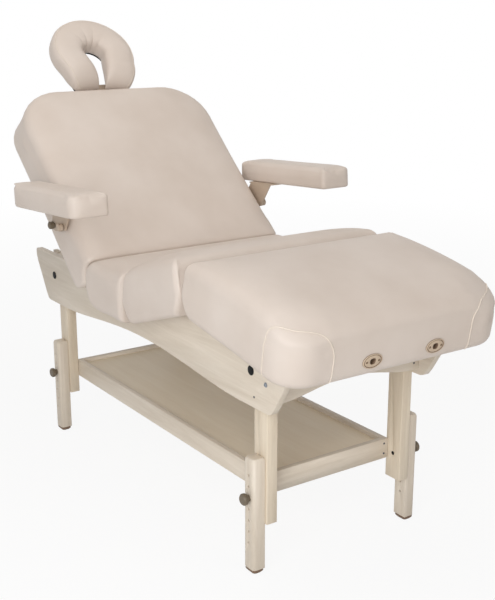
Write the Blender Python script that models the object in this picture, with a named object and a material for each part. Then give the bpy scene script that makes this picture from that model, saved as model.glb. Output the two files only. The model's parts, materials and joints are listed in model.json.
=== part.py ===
"""Massage table: wooden frame, tilting back, knee lift, armrests and face rest.

X runs from the head to the foot, Y across, Z up, in metres. The model stands in the
pose of the photograph: back raised, knee raised, armrests level.
"""
import math

import bmesh
import bpy
from mathutils import Matrix, Vector

# Clearances
GAP = 0.0003                # air between parts that touch
SWING = 0.004               # air between parts that turn past each other

# Frame
RAIL_INNER = 0.2946         # centre line to the inner face of a side rail
RAIL_T = 0.024
RAIL_HALF = 0.888           # half length along the top edge
RAIL_TOP = 0.7457
RAIL_LOW = 0.548            # underside at the ends
RAIL_ARCH = 0.042           # rise of the underside at mid length
RAIL_SHOULDER = 0.100       # end of the arch from the centre of a leg
RAIL_TAIL_L = 0.118         # slanted end of a rail
# Slanted end of a rail: share of its length back from the tip, share of the depth
RAIL_TAIL = ((1.0, 0.0), (0.864, 0.025), (0.72, 0.137), (0.576, 0.278), (0.305, 0.546), (0.102, 0.728),
             (0.017, 0.85), (0.0, 0.96), (0.059, 1.0))
APRON_T = 0.028
APRON_TOP = 0.668
APRON_LOW = 0.569
APRON_ARCH = 0.034
APRON_SHOULDER = 0.045      # level part of the underside at each end

# Legs
LEG_SETBACK = 0.188         # centre of a leg from the end of a rail
LEG_X = RAIL_HALF - LEG_SETBACK
POST_X = 0.070
POST_Y = 0.040
POST_LOW = 0.165
SLIDER_X = 0.055
SLIDER_Y = 0.044
SLIDER_TOP = 0.3876
GLIDE_H = 0.014
HOLE_PITCH = 0.0381
HOLES_BELOW = 4
HOLES_ABOVE = 2
STUD_Z = 0.2555
STUD_R = 0.004
HOLE_R = 0.0046
LEG_KNOB_R = 0.019

# Shelf
SHELF_TOP = 0.302
SHELF_H = 0.070
SHELF_T = 0.020
SHELF_END = LEG_X - 0.025   # outer face of an end rail from mid length
PANEL_T = 0.012
PANEL_DROP = 0.014          # panel surface below the rail tops

# Upholstered sections, heights measured from the hinge line
HINGE_Z = 0.739
BACK_HINGE_X = -0.225
THIGH_HINGE_X = 0.055
THIGH_LENGTH = 0.410        # thigh hinge to knee hinge
BACK_LENGTH = 0.880
LEG_LENGTH = 0.572
DECK_LOW = RAIL_TOP + GAP - HINGE_Z
DECK_T = 0.015
DECK_TOP = DECK_LOW + DECK_T
DECK_OVERHANG = 0.0114      # deck edge beyond the outer face of a side rail
DECK_HALF = RAIL_INNER + RAIL_T + DECK_OVERHANG
DECK_SETBACK = 0.012        # end of a deck from its hinge line
TOP_HALF = 0.425            # half width of a cushion at its fullest
SKIRT_INNER = DECK_HALF + 0.003
END_WALL = 0.055
OPEN_PAST = 0.100           # reach of a hollow beyond an open end
BULLNOSE_R = 0.090
BULLNOSE_Z = 0.020
HEAD_CORNER = 0.16
FOOT_CORNER = 0.10

# Rest pose and reach of the moving sections, degrees
BACK_REST = 42.0
BACK_MAX = 45.0
THIGH_REST = 18.5
THIGH_MAX = 24.0
LEG_REST = 10.0             # slope of the leg section below level
LEG_RATIO = 1 + LEG_REST / THIGH_REST
FACE_REST = 2.0
ARM_REST = 45.6             # armrest against the back, so that the pad is near level

# Height and inset of each ring of a cushion, from the hem to the crown
HEM = -0.077
CROWN = 0.117
SIDE_RINGS = ((HEM, 0.030), (-0.067, 0.014), (-0.045, 0.005), (-0.012, 0.0), (0.020, 0.0),
              (0.055, 0.0), (0.078, 0.003), (0.094, 0.012), (0.106, 0.032), (0.112, 0.070),
              (CROWN, 0.140))
END_ROUND = {0.094: 0.005, 0.106: 0.020, 0.112: 0.050, CROWN: 0.110}
KNEE_FLARE = 0.032          # more cut back at the hem of the knee ends
FOOT_ROLL = 1.7             # foot end rounded over more than the sides
KNEE_ROUND = {0.078: 0.006, 0.094: 0.017, 0.106: 0.038, 0.112: 0.072, CROWN: 0.130}

# Hinges
LEAF_T = 0.002
LEAF_W = 0.036
LEAF_HALF = 0.225
KNUCKLE_R = 0.0052
PIN_R = 0.0024
KNUCKLES = 5

# Back prop: pivots on the back deck, its bar lies on racks at hinge height
PROP_REACH = 0.310
PROP_R = 0.005
PROP_HALF = 0.244
PROP_GRIP = 0.022           # length of the prop inside its pivot bar
RACK_T = 0.020
BACK_LOW = 10.0             # back angle at the last notch, degrees
FIRST_NOTCH = BACK_HINGE_X - 2 * PROP_REACH * math.cos(math.radians(BACK_MAX))
LAST_NOTCH = BACK_HINGE_X - 2 * PROP_REACH * math.cos(math.radians(BACK_LOW))
RACK_HEAD = LAST_NOTCH - 0.029
RACK_FOOT = FIRST_NOTCH + 0.048
RACK_CLEAR = 0.0005
BATTEN_H = 0.030            # cross piece that ties the two racks
NOTCHES = 7
NOTCH_DEEP = 0.007

# Rocker that carries the foot end of the leg section
ROCKER_X = LEG_X - 0.004
ROCKER_Z = 0.691
FORK_REACH = 0.360          # knee hinge to the rod
FORK_DROP = 0.030
ROD_R = 0.005
ARM_W = 0.020
ARM_T = 0.006
FORK_T = 0.005
FORK_SLOT = 0.022
FORK_CLEAR = 0.003
FORK_ROOT = 0.030           # half length of a fork cheek at the plate

# Sockets and grommets for the face rest
SOCKET_Y = 0.122
SOCKET_Z = -0.026
SOCKET_W = 0.034
SOCKET_L = 0.120
BORE_R = 0.0078
GROMMET_HALF_W = 0.037
GROMMET_HALF_H = 0.023
GROMMET_T = 0.003
GROMMET_BORE = 0.011
WALL_HOLE = 0.0125          # hole in the end wall of a cushion

# Face rest
POST_R = 0.007
POST_IN = 0.110             # length of a post inside its socket
BAR_R = 0.012
BAR_OUT = 0.045             # crossbar beyond the head end
BAR_HALF = 0.150
FACE_BACK = 0.0627          # crossbar axis to the back of the platform
FACE_REACH = 0.133          # crossbar axis to the middle of the ring
PLATFORM_T = 0.012
FACE_HALF_Y = 0.108         # ring centre line
FACE_HALF_S = 0.104
RING_HALF = 0.0735
RING_H = 0.092
RING_OPEN = 58.0            # half angle without an arc, where the two tails run
TAIL_L = 0.103              # length of a tail
TAIL_IN = 0.016             # how far the tails close towards each other
TAIL_STEPS = 4
PLATFORM_INSET = 0.033      # platform edge inside the ring's edge
CLAMP_HALF = 0.075

# Armrests, on the sides of the back
ARM_U = 0.275               # pivot along the back from the hinge line
ARM_N = DECK_LOW + DECK_T / 2
THREAD_R = 0.005            # stud of a clamp knob
STUD_IN = 0.040             # length of a stud inside the deck edge
PLATE_IN = TOP_HALF + 0.008
PLATE_T = 0.006
PAD_IN = PLATE_IN + PLATE_T + 0.010
PAD_W = 0.138
PAD_FRONT = 0.481           # pad ends, measured from the pivot
PAD_REAR = -0.075
PAD_LOW = 0.082             # underside of a pad above the pivot
PAD_H = 0.077
FLANGE_W = 0.080
FLANGE_T = 0.005
PAD_FRONT_R = 0.034
PAD_REAR_R = 0.100
ARM_KNOB_R = 0.014
LOCK_X = 0.074              # second clamp knob, ahead of the pivot
BRACKET_HEEL = 0.020        # bracket behind the pivot
BRACKET_NOSE = 0.024        # bracket ahead of the second knob
BRACKET_LEAN = 0.060        # top edge of the bracket ahead of its nose

# Caps over the leg bolts
CAP_R = 0.0155
CAP_SHIFT = -0.017          # cap centres from the leg centres
CAP_Z = 0.662
CAP_T = 0.002

POST_OUT = RAIL_INNER - GAP
POST_IN_Y = POST_OUT - POST_Y
LEG_FACE = LEG_X + POST_X / 2
RAD = math.pi / 180


def clear_scene():
    """Removes whatever the new file holds."""
    for item in list(bpy.data.objects):
        bpy.data.objects.remove(item)


def material(name, colour, rough, metal=0.0):
    """A Principled material of one colour."""
    made = bpy.data.materials.new(name)
    made.use_nodes = True
    shader = made.node_tree.nodes["Principled BSDF"]
    shader.inputs["Base Color"].default_value = (*colour, 1.0)
    shader.inputs["Roughness"].default_value = rough
    shader.inputs["Metallic"].default_value = metal
    return made


FINISHES = {
    "wood": ((0.74, 0.62, 0.46), 0.5, 0.0),
    "ply": ((0.66, 0.52, 0.36), 0.6, 0.0),
    "cream": ((0.70, 0.60, 0.49), 0.55, 0.0),
    "steel": ((0.55, 0.55, 0.56), 0.35, 1.0),
    "black": ((0.02, 0.02, 0.022), 0.5, 0.0),
    "grey": ((0.20, 0.17, 0.14), 0.5, 0.0),
    "tan": ((0.50, 0.35, 0.22), 0.5, 0.0),
    "brown": ((0.28, 0.18, 0.11), 0.6, 0.0),
}


def empty(name, place, parent=None, turn=0.0):
    """An axis for a moving group: its own Y axis is the hinge axis."""
    made = bpy.data.objects.new(name, None)
    bpy.context.scene.collection.objects.link(made)
    made.parent = parent
    made.location = place
    made.rotation_euler = (0.0, turn * RAD, 0.0)
    return made


def node(name, shell, finish, parent):
    """Turns a bmesh into a named object with its own material."""
    bmesh.ops.recalc_face_normals(shell, faces=shell.faces)
    mesh = bpy.data.meshes.new(name)
    shell.to_mesh(mesh)
    shell.free()
    made = bpy.data.objects.new(name, mesh)
    bpy.context.scene.collection.objects.link(made)
    made.parent = parent
    mesh.materials.append(material(name, *FINISHES[finish]))
    return made


def boolean(target, shell, operation="DIFFERENCE"):
    """Cuts a hidden shape from an object, or joins it on."""
    count = len(target.modifiers) + 1
    cutter = node(f"{target.name}_tool_{count}", shell, "black", target.parent)
    cutter.hide_render = True
    cutter.display_type = "WIRE"
    modifier = target.modifiers.new(f"shape {count}", "BOOLEAN")
    modifier.operation = operation
    modifier.solver = "EXACT"
    modifier.object = cutter


def add_loft(shell, loops, closed_path=False):
    """Skins a row of loops that have one vertex count, with caps on an open row."""
    rows = [[shell.verts.new(point) for point in loop] for loop in loops]
    pairs = list(zip(rows, rows[1:]))
    if closed_path:
        pairs.append((rows[-1], rows[0]))
    for low, high in pairs:
        for i in range(len(low)):
            j = (i + 1) % len(low)
            shell.faces.new((low[i], low[j], high[j], high[i]))
    if not closed_path:
        shell.faces.new(list(reversed(rows[0])))
        shell.faces.new(rows[-1])


def spread(points, axis, at):
    """Places flat points at one height along an axis."""
    if axis == "X":
        return [Vector((at, a, b)) for a, b in points]
    if axis == "Y":
        return [Vector((a, at, b)) for a, b in points]
    return [Vector((a, b, at)) for a, b in points]


def add_prism(shell, points, axis, low, high):
    """Extrudes a flat outline along an axis."""
    add_loft(shell, [spread(points, axis, low), spread(points, axis, high)])


def add_box(shell, low, high):
    """A plain box between two corners."""
    outline = [(low[0], low[1]), (high[0], low[1]), (high[0], high[1]), (low[0], high[1])]
    add_prism(shell, outline, "Z", low[2], high[2])


def circle(radius, count, centre=(0.0, 0.0)):
    """Points round a circle."""
    steps = [2 * math.pi * (i + 0.5) / count for i in range(count)]
    return [(centre[0] + radius * math.cos(a), centre[1] + radius * math.sin(a)) for a in steps]


def rectangle(half_x, half_y):
    """Corners of a rectangle about the middle."""
    return [(-half_x, -half_y), (half_x, -half_y), (half_x, half_y), (-half_x, half_y)]


def add_rod(shell, axis, centre, radius, low, high, count=16):
    """A round bar along an axis; centre holds the two other coordinates."""
    add_prism(shell, circle(radius, count, centre), axis, low, high)


def every_angle(outline, centre, step=20 * RAD):
    """Adds points to an outline so that a hole at the centre gets short sides."""
    points = []
    for i, (a, b) in enumerate(outline):
        start = Vector((a, b)) - Vector(centre)
        run = Vector(outline[(i + 1) % len(outline)]) - Vector((a, b))
        first = math.atan2(start.y, start.x)
        turn = math.remainder(math.atan2(start.y + run.y, start.x + run.x) - first, 2 * math.pi)
        count = max(1, math.ceil(abs(turn) / step - 1e-6))
        for k in range(count):
            ray = Vector((math.cos(first + turn * k / count), math.sin(first + turn * k / count)))
            along = -start.cross(ray) / run.cross(ray) if k else 0.0
            points.append((a + run.x * along, b + run.y * along))
    return points


def add_ring(shell, outline, centre, radius, axis, low, high):
    """A plate with one round hole; the outline is seen whole from the hole's centre."""
    hole = []
    outline = every_angle(outline, centre)
    for a, b in outline:
        angle = math.atan2(b - centre[1], a - centre[0])
        hole.append((centre[0] + radius * math.cos(angle), centre[1] + radius * math.sin(angle)))
    loops = [spread(outline, axis, low), spread(outline, axis, high),
             spread(hole, axis, high), spread(hole, axis, low)]
    add_loft(shell, loops, closed_path=True)


def add_turned(shell, axis, centre, profile, sign=1, count=16):
    """A turned shape: profile rows are (distance along the axis, radius)."""
    loops = [spread(circle(radius, count, centre), axis, sign * along) for along, radius in profile]
    add_loft(shell, loops)


def rounded(low, high, radii, steps=4):
    """A rectangle with its four corners rounded; radii go round from the low corner."""
    corners = ((low[0], low[1], 1, 1, 180), (high[0], low[1], -1, 1, 270),
               (high[0], high[1], -1, -1, 0), (low[0], high[1], 1, -1, 90))
    points = []
    for (x, y, dx, dy, start), radius in zip(corners, radii):
        for k in range(steps + 1):
            angle = (start + 90 * k / steps) * RAD
            points.append((x + dx * radius + radius * math.cos(angle),
                           y + dy * radius + radius * math.sin(angle)))
    return points


def mirrored(points):
    """Adds the other half of an outline that runs from the middle bottom to the top."""
    return points + [(-a, b) for a, b in reversed(points) if a > 1e-6]


def both_sides():
    """The left side of the table, then the right."""
    return (("left", -1), ("right", 1))


def both_ends():
    """The head end of the table, then the foot end."""
    return (("head", -1), ("foot", 1))


def legs():
    """Name and signs of each leg."""
    return [(f"{end}_{side}", sx, sy) for end, sx in both_ends() for side, sy in both_sides()]


def build_rails(root):
    """Two side rails, the aprons across their ends and the fixings that show."""
    arch = []
    span = LEG_X - RAIL_SHOULDER
    for k in range(9):
        x = span * k / 8
        arch.append((x, RAIL_LOW + RAIL_ARCH * math.cos(x / span * math.pi / 2) ** 1.5))
    depth = RAIL_TOP - RAIL_LOW
    end = []
    for back, rise in RAIL_TAIL:
        end.append((RAIL_HALF - RAIL_TAIL_L * back, RAIL_LOW + depth * rise))
    outline = mirrored(arch + end)
    for side, sy in both_sides():
        shell = bmesh.new()
        add_prism(shell, outline, "Y", sy * RAIL_INNER, sy * (RAIL_INNER + RAIL_T))
        node(f"side_rail_{side}", shell, "wood", root)

    half = RAIL_INNER - GAP
    flat = half - APRON_SHOULDER
    under = []
    for k in range(9):
        y = flat * k / 8
        under.append((y, APRON_LOW + APRON_ARCH * math.cos(y / flat * math.pi / 2) ** 1.5))
    outline = mirrored(under + [(half, APRON_LOW), (half, APRON_TOP)])
    for end_name, sx in both_ends():
        shell = bmesh.new()
        add_prism(shell, outline, "X", sx * (LEG_FACE + GAP), sx * (LEG_FACE + GAP + APRON_T))
        node(f"{end_name}_apron", shell, "wood", root)

    face = RAIL_INNER + RAIL_T + GAP
    profile = ((face, CAP_R), (face + CAP_T / 2, CAP_R), (face + CAP_T, CAP_R - CAP_T * 1.5))
    for name, sx, sy in legs():
        shell = bmesh.new()
        add_turned(shell, "Y", (sx * LEG_X + CAP_SHIFT, CAP_Z), profile, sy)
        node(f"leg_bolt_cap_{name}", shell, "black", root)


def build_legs(root):
    """Posts fixed to the rails, and the sliders that set the height."""
    for name, sx, sy in legs():
        x0 = sx * LEG_X - POST_X / 2
        x1 = sx * LEG_X + POST_X / 2
        y0, y1 = sorted((sy * POST_IN_Y, sy * POST_OUT))
        shell = bmesh.new()
        add_prism(shell, rounded((x0, y0), (x1, y1), [0.003] * 4, 2), "Z", POST_LOW, RAIL_TOP - GAP)
        drill = bmesh.new()
        add_rod(drill, "Y", (sx * LEG_X, STUD_Z), HOLE_R, y0 - 0.01, y1 + 0.01, 10)
        boolean(node(f"leg_post_{name}", shell, "wood", root), drill)

        low, high = sorted((sy * RAIL_INNER, sy * (RAIL_INNER + SLIDER_Y)))
        outer = 0.012
        radii = [outer, outer, 0.002, 0.002] if sy < 0 else [0.002, 0.002, outer, outer]
        x0 = sx * LEG_X - SLIDER_X / 2
        x1 = sx * LEG_X + SLIDER_X / 2
        shell = bmesh.new()
        loops = []
        for z, inset in ((GLIDE_H + GAP, 0.0), (SLIDER_TOP - 0.008, 0.0), (SLIDER_TOP, 0.006)):
            radii_here = [max(r - inset / 2, 0.001) for r in radii]
            outline = rounded((x0 + inset, low + inset / 2), (x1 - inset, high - inset / 2), radii_here, 3)
            loops.append(spread(outline, "Z", z))
        add_loft(shell, loops)
        axis = empty(f"slider_axis_{name}", (0.0, 0.0, 0.0), root)
        slider = node(f"leg_slider_{name}", shell, "wood", axis)
        drill = bmesh.new()
        for k in range(-HOLES_BELOW, HOLES_ABOVE + 1):
            add_rod(drill, "Y", (sx * LEG_X, STUD_Z + k * HOLE_PITCH), HOLE_R, low - 0.01, high + 0.01, 8)
        boolean(slider, drill)

        shell = bmesh.new()
        loops = []
        for z, inset in ((0.0, 0.007), (0.006, 0.002), (GLIDE_H, 0.002)):
            outline = rounded((x0 + inset, low + inset), (x1 - inset, high - inset), [0.008] * 4, 2)
            loops.append(spread(outline, "Z", z))
        add_loft(shell, loops)
        node(f"glide_{name}", shell, "brown", axis)

        face = RAIL_INNER + SLIDER_Y + GAP
        profile = ((POST_IN_Y + 0.004, STUD_R), (face, STUD_R), (face, 0.011), (face + 0.008, 0.012),
                   (face + 0.010, LEG_KNOB_R - 0.002), (face + 0.013, LEG_KNOB_R), (face + 0.021, LEG_KNOB_R),
                   (face + 0.025, LEG_KNOB_R - 0.004))
        shell = bmesh.new()
        add_turned(shell, "Y", (0.0, 0.0), profile, sy)
        knob_axis = empty(f"leg_knob_axis_{name}", (sx * LEG_X, 0.0, STUD_Z), root)
        node(f"leg_knob_{name}", shell, "grey", knob_axis)


def build_shelf(root):
    """The lower shelf: a frame of four rails round a panel."""
    out = POST_IN_Y - GAP
    low = SHELF_TOP - SHELF_H
    outer = rectangle(SHELF_END, out)
    inner = rectangle(SHELF_END - SHELF_T, out - SHELF_T)
    shell = bmesh.new()
    add_loft(shell, [spread(outer, "Z", low), spread(outer, "Z", SHELF_TOP), spread(inner, "Z", SHELF_TOP),
                     spread(inner, "Z", low)], closed_path=True)
    node("shelf_frame", shell, "wood", root)
    shell = bmesh.new()
    panel = rectangle(SHELF_END - SHELF_T - GAP, out - SHELF_T - GAP)
    top = SHELF_TOP - PANEL_DROP
    add_prism(shell, panel, "Z", top - PANEL_T, top)
    node("shelf_panel", shell, "wood", root)


def ring_outline(x_low, x_high, half, r_low, r_high):
    """A cushion outline with points along its sides, for one ring."""
    corners = rounded((x_low, -half), (x_high, half), [r_low, r_high, r_high, r_low], 4)
    points = []
    for i, point in enumerate(corners):
        points.append(point)
        if i % 5 == 4:
            nxt = corners[(i + 1) % len(corners)]
            for k in range(1, 4):
                points.append((point[0] + (nxt[0] - point[0]) * k / 4, point[1] + (nxt[1] - point[1]) * k / 4))
    return points


def cushion(name, parent, x_low, x_high, corner_low, corner_high, cavity):
    """A padded section with a crowned top, full sides and a hollow for its deck."""
    shell = bmesh.new()
    loops = []
    for height, inset in SIDE_RINGS:
        low = x_low(height, inset)
        high = x_high(height, inset)
        r_low = max(corner_low - inset, 0.02)
        r_high = max(corner_high - inset, 0.02)
        loops.append(spread(ring_outline(low, high, TOP_HALF - inset, r_low, r_high), "Z", height))
    add_loft(shell, loops)
    made = node(name, shell, "cream", parent)
    hollow = bmesh.new()
    add_box(hollow, (cavity[0], -SKIRT_INNER, HEM - 0.05), (cavity[1], SKIRT_INNER, DECK_TOP + GAP))
    boolean(made, hollow)
    return made


def seat_rear(height, inset):
    """Rounded rear end of the seat."""
    centre = SWING + BULLNOSE_R
    rise = height - BULLNOSE_Z
    reach = math.sqrt(max(BULLNOSE_R ** 2 - rise ** 2, 0.0))
    return BACK_HINGE_X + centre - reach + END_ROUND.get(height, 0.0) * (0.6 if rise > BULLNOSE_R - 0.01 else 0.0)


def seat_front(height, inset):
    """Flat front face of the seat."""
    hem = 0.010 if height == HEM else 0.0
    return THIGH_HINGE_X - SWING - END_ROUND.get(height, 0.0) / 2 - hem


def back_end(height, inset):
    """Lower end of the back, hollowed so that it turns round the seat's rear end."""
    centre = Vector((SWING + BULLNOSE_R, BULLNOSE_Z))
    start = math.atan2(centre.y, centre.x)
    radius = BULLNOSE_R + SWING / 2
    reach = SWING
    for k in range(46):
        angle = start + BACK_MAX * RAD * k / 45
        at = Vector((math.cos(angle), math.sin(angle))) * centre.length
        rise = height - at.y
        if abs(rise) < radius:
            reach = max(reach, math.sqrt(radius ** 2 - rise ** 2) - at.x)
    if height < 0:
        reach += 0.040 * (height / HEM) ** 1.5
    return -reach - END_ROUND.get(height, 0.0)


def back_head(height, inset):
    """Head end of the back."""
    return -BACK_LENGTH + inset


def thigh_rear(height, inset):
    """Rear end of the thigh section, sloped so that it lifts clear of the seat."""
    if height < 0:
        return SWING + 0.026 * height / HEM
    return SWING + height * math.tan((THIGH_MAX + 0.5) * RAD) + KNEE_ROUND.get(height, 0.0) * 0.6


def knee_slope(height):
    """How far an end at the knee is cut back below the hinge line."""
    half_bend = THIGH_MAX * LEG_RATIO / 2 + 0.5
    return max(-height, 0.0) * math.tan(half_bend * RAD) + KNEE_FLARE * (min(height, 0.0) / HEM) ** 2


def thigh_front(height, inset):
    """Knee end of the thigh section."""
    return THIGH_LENGTH - SWING - knee_slope(height) - KNEE_ROUND.get(height, 0.0)


def leg_rear(height, inset):
    """Knee end of the leg section."""
    return SWING + knee_slope(height) + KNEE_ROUND.get(height, 0.0)


def leg_foot(height, inset):
    """Foot end of the leg section, with a broad roll along its top."""
    return LEG_LENGTH - inset * (FOOT_ROLL if height > 0 else 1.0)


def deck(name, parent, low, high):
    """A plywood deck under a cushion."""
    shell = bmesh.new()
    add_prism(shell, rounded((low, -DECK_HALF), (high, DECK_HALF), [0.01] * 4, 2), "Z", DECK_LOW, DECK_TOP)
    return node(name, shell, "ply", parent)


def hinge_leaf(name, parent, line, sign, first):
    """A leaf of a long hinge under a deck, on one side of the hinge line.

    Its knuckles alternate with those of the other leaf. The leaf with the first knuckle
    holds the pin, and the other one is bored for it.
    """
    step = 2 * LEAF_HALF / KNUCKLES
    top = DECK_LOW - GAP
    skin = 0.0004
    plate = bmesh.new()
    x0, x1 = sorted((line + sign * (KNUCKLE_R + 0.0006), line + sign * LEAF_W))
    add_box(plate, (x0, -LEAF_HALF, top - LEAF_T), (x1, LEAF_HALF, top))
    leaf = node(name, plate, "steel", parent)
    outline = [(line - sign * KNUCKLE_R * math.sin(a), KNUCKLE_R * math.cos(a))
               for a in [20 * RAD * k for k in range(14)]]
    outline += [(line + sign * 0.010, top - LEAF_T + skin), (line + sign * 0.010, top - skin),
                (line + sign * 0.004, top - skin)]
    knuckles = bmesh.new()
    for k in range(first, KNUCKLES, 2):
        start = -LEAF_HALF + k * step + (GAP if k else 0.001)
        stop = -LEAF_HALF + (k + 1) * step - (GAP if k < KNUCKLES - 1 else 0.001)
        if first:
            add_ring(knuckles, outline, (line, 0.0), PIN_R + GAP, "Y", start, stop)
        else:
            add_prism(knuckles, outline, "Y", start, stop)
    boolean(leaf, knuckles, "UNION")
    if not first:
        pin = bmesh.new()
        add_rod(pin, "Y", (line, 0.0), PIN_R, -LEAF_HALF + 0.004, LEAF_HALF - 0.004, 10)
        boolean(leaf, pin, "UNION")


def grommets(name, parent, x, sign):
    """Two oval plates with a hole, on an end of the top; sign points outwards."""
    count = 24
    low, high = sorted((x + sign * GAP, x + sign * (GAP + GROMMET_T)))
    for side, sy in both_sides():
        steps = [2 * math.pi * (i + 0.5) / count for i in range(count)]
        outline = [(sy * SOCKET_Y + GROMMET_HALF_W * math.cos(a), SOCKET_Z + GROMMET_HALF_H * math.sin(a))
                   for a in steps]
        shell = bmesh.new()
        add_ring(shell, outline, (sy * SOCKET_Y, SOCKET_Z), GROMMET_BORE, "X", low, high)
        node(f"{name}_grommet_{side}", shell, "tan", parent)


def socket_block(name, parent, x, sign):
    """A bored block under a deck that takes both posts of the face rest."""
    half = SOCKET_W / 2
    low, high = sorted((x, x - sign * SOCKET_L))
    shell = bmesh.new()
    add_box(shell, (low, -SOCKET_Y - half, SOCKET_Z - half), (high, SOCKET_Y + half, DECK_LOW - GAP))
    drill = bmesh.new()
    for _, sy in both_sides():
        add_rod(drill, "X", (sy * SOCKET_Y, SOCKET_Z), BORE_R, low - 0.01, high + 0.01, 12)
    boolean(node(f"{name}_socket_block", shell, "ply", parent), drill)


def end_holes(cushion_object, wall, sign):
    """Holes for the posts through the end wall of a cushion."""
    drill = bmesh.new()
    for _, sy in both_sides():
        low, high = sorted((wall - sign * 0.02, wall + sign * (END_WALL + 0.05)))
        add_rod(drill, "X", (sy * SOCKET_Y, SOCKET_Z), WALL_HOLE, low, high, 12)
    boolean(cushion_object, drill)


def bent_rod(shell, points, radius, count=12):
    """A round rod along a path of straight runs, mitred at the bends."""
    points = [Vector(p) for p in points]
    loops = []
    up = Vector((0.0, 0.0, 1.0))
    for i, point in enumerate(points):
        before = (point - points[i - 1]).normalized() if i else None
        after = (points[i + 1] - point).normalized() if i + 1 < len(points) else None
        along = before or after
        plane = ((before or after) + (after or before)).normalized()
        side = along.cross(up)
        loop = []
        for a, b in circle(radius, count):
            offset = side * a + up * b
            offset -= along * (offset.dot(plane) / along.dot(plane))
            loop.append(point + offset)
        loops.append(loop)
    add_loft(shell, loops)


def build_seat(level):
    """The fixed seat in the middle of the top."""
    deck("seat_deck", level, BACK_HINGE_X + DECK_SETBACK, THIGH_HINGE_X - DECK_SETBACK)
    reach = (BACK_HINGE_X - 0.05, THIGH_HINGE_X + 0.05)
    cushion("seat_cushion", level, seat_rear, seat_front, 0.02, 0.02, reach)
    hinge_leaf("back_hinge_seat_leaf", level, BACK_HINGE_X, 1, 0)
    hinge_leaf("thigh_hinge_seat_leaf", level, THIGH_HINGE_X, -1, 0)


def build_back(back):
    """The back section, its hinge, sockets and prop."""
    inner = BACK_LENGTH - END_WALL
    board_end = min(-DECK_SETBACK, back_end(DECK_LOW, 0.0) - GAP, back_end(DECK_TOP, 0.0) - GAP)
    board = deck("back_deck", back, -inner + SWING, board_end)
    pad = cushion("back_cushion", back, back_head, back_end, HEAD_CORNER, 0.02, (-inner, OPEN_PAST))
    end_holes(pad, -inner, -1)
    drill = bmesh.new()
    for _, sy in both_sides():
        low, high = sorted((sy * (SKIRT_INNER - 0.02), sy * (TOP_HALF + 0.05)))
        add_rod(drill, "Y", (-ARM_U, ARM_N), THREAD_R + 0.002, low, high, 12)
    boolean(pad, drill)
    hinge_leaf("back_hinge_back_leaf", back, 0.0, -1, 1)
    socket_block("head", back, -inner + SWING, -1)

    lug = bmesh.new()
    lug_half = PROP_HALF - 2 * PROP_R
    outline = rounded((-PROP_REACH - 0.011, -0.0095), (-PROP_REACH + 0.011, DECK_LOW - GAP),
                      [0.006, 0.006, 0.001, 0.001], 4)
    add_ring(lug, outline, (-PROP_REACH, 0.0), PROP_R + 0.0004, "Y", -lug_half, lug_half)
    node("prop_pivot_bar", lug, "steel", back)
    swing = empty("prop_axis", (-PROP_REACH, 0.0, 0.0), back, -2 * BACK_REST)
    path = []
    for sy in (-1, 1):
        turn = [(0.0, sy * (lug_half - PROP_GRIP), 0.0), (0.0, sy * PROP_HALF, 0.0),
                (-PROP_REACH, sy * PROP_HALF, 0.0)]
        path += turn if sy < 0 else list(reversed(turn))
    shell = bmesh.new()
    bent_rod(shell, path, PROP_R)
    node("back_prop", shell, "steel", swing)
    return board


def build_racks(root):
    """Notched bars on the head posts that the prop rests on, tied by a cross piece."""
    top = HINGE_Z - PROP_R - RACK_CLEAR
    outline = [(RACK_HEAD, APRON_TOP + GAP), (RACK_FOOT, APRON_TOP + GAP), (RACK_FOOT, top)]
    half = PROP_R + 0.001
    for k in range(NOTCHES):
        x = FIRST_NOTCH + (LAST_NOTCH - FIRST_NOTCH) * k / (NOTCHES - 1)
        outline += [(x + half, top), (x + half * 0.7, top - NOTCH_DEEP), (x - half * 0.7, top - NOTCH_DEEP),
                    (x - half, top)]
    outline.append((RACK_HEAD, top))
    bars = bmesh.new()
    for _, sy in both_sides():
        add_prism(bars, outline, "Y", sy * (POST_IN_Y - GAP - RACK_T), sy * (POST_IN_Y - GAP))
    batten = bmesh.new()
    half = POST_IN_Y - GAP - RACK_T / 2
    low = APRON_TOP + GAP + 0.004
    add_box(batten, (RACK_HEAD + 0.004, -half, low), (RACK_HEAD + 0.004 + RACK_T, half, low + BATTEN_H))
    boolean(node("prop_rack", batten, "wood", root), bars, "UNION")


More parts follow.
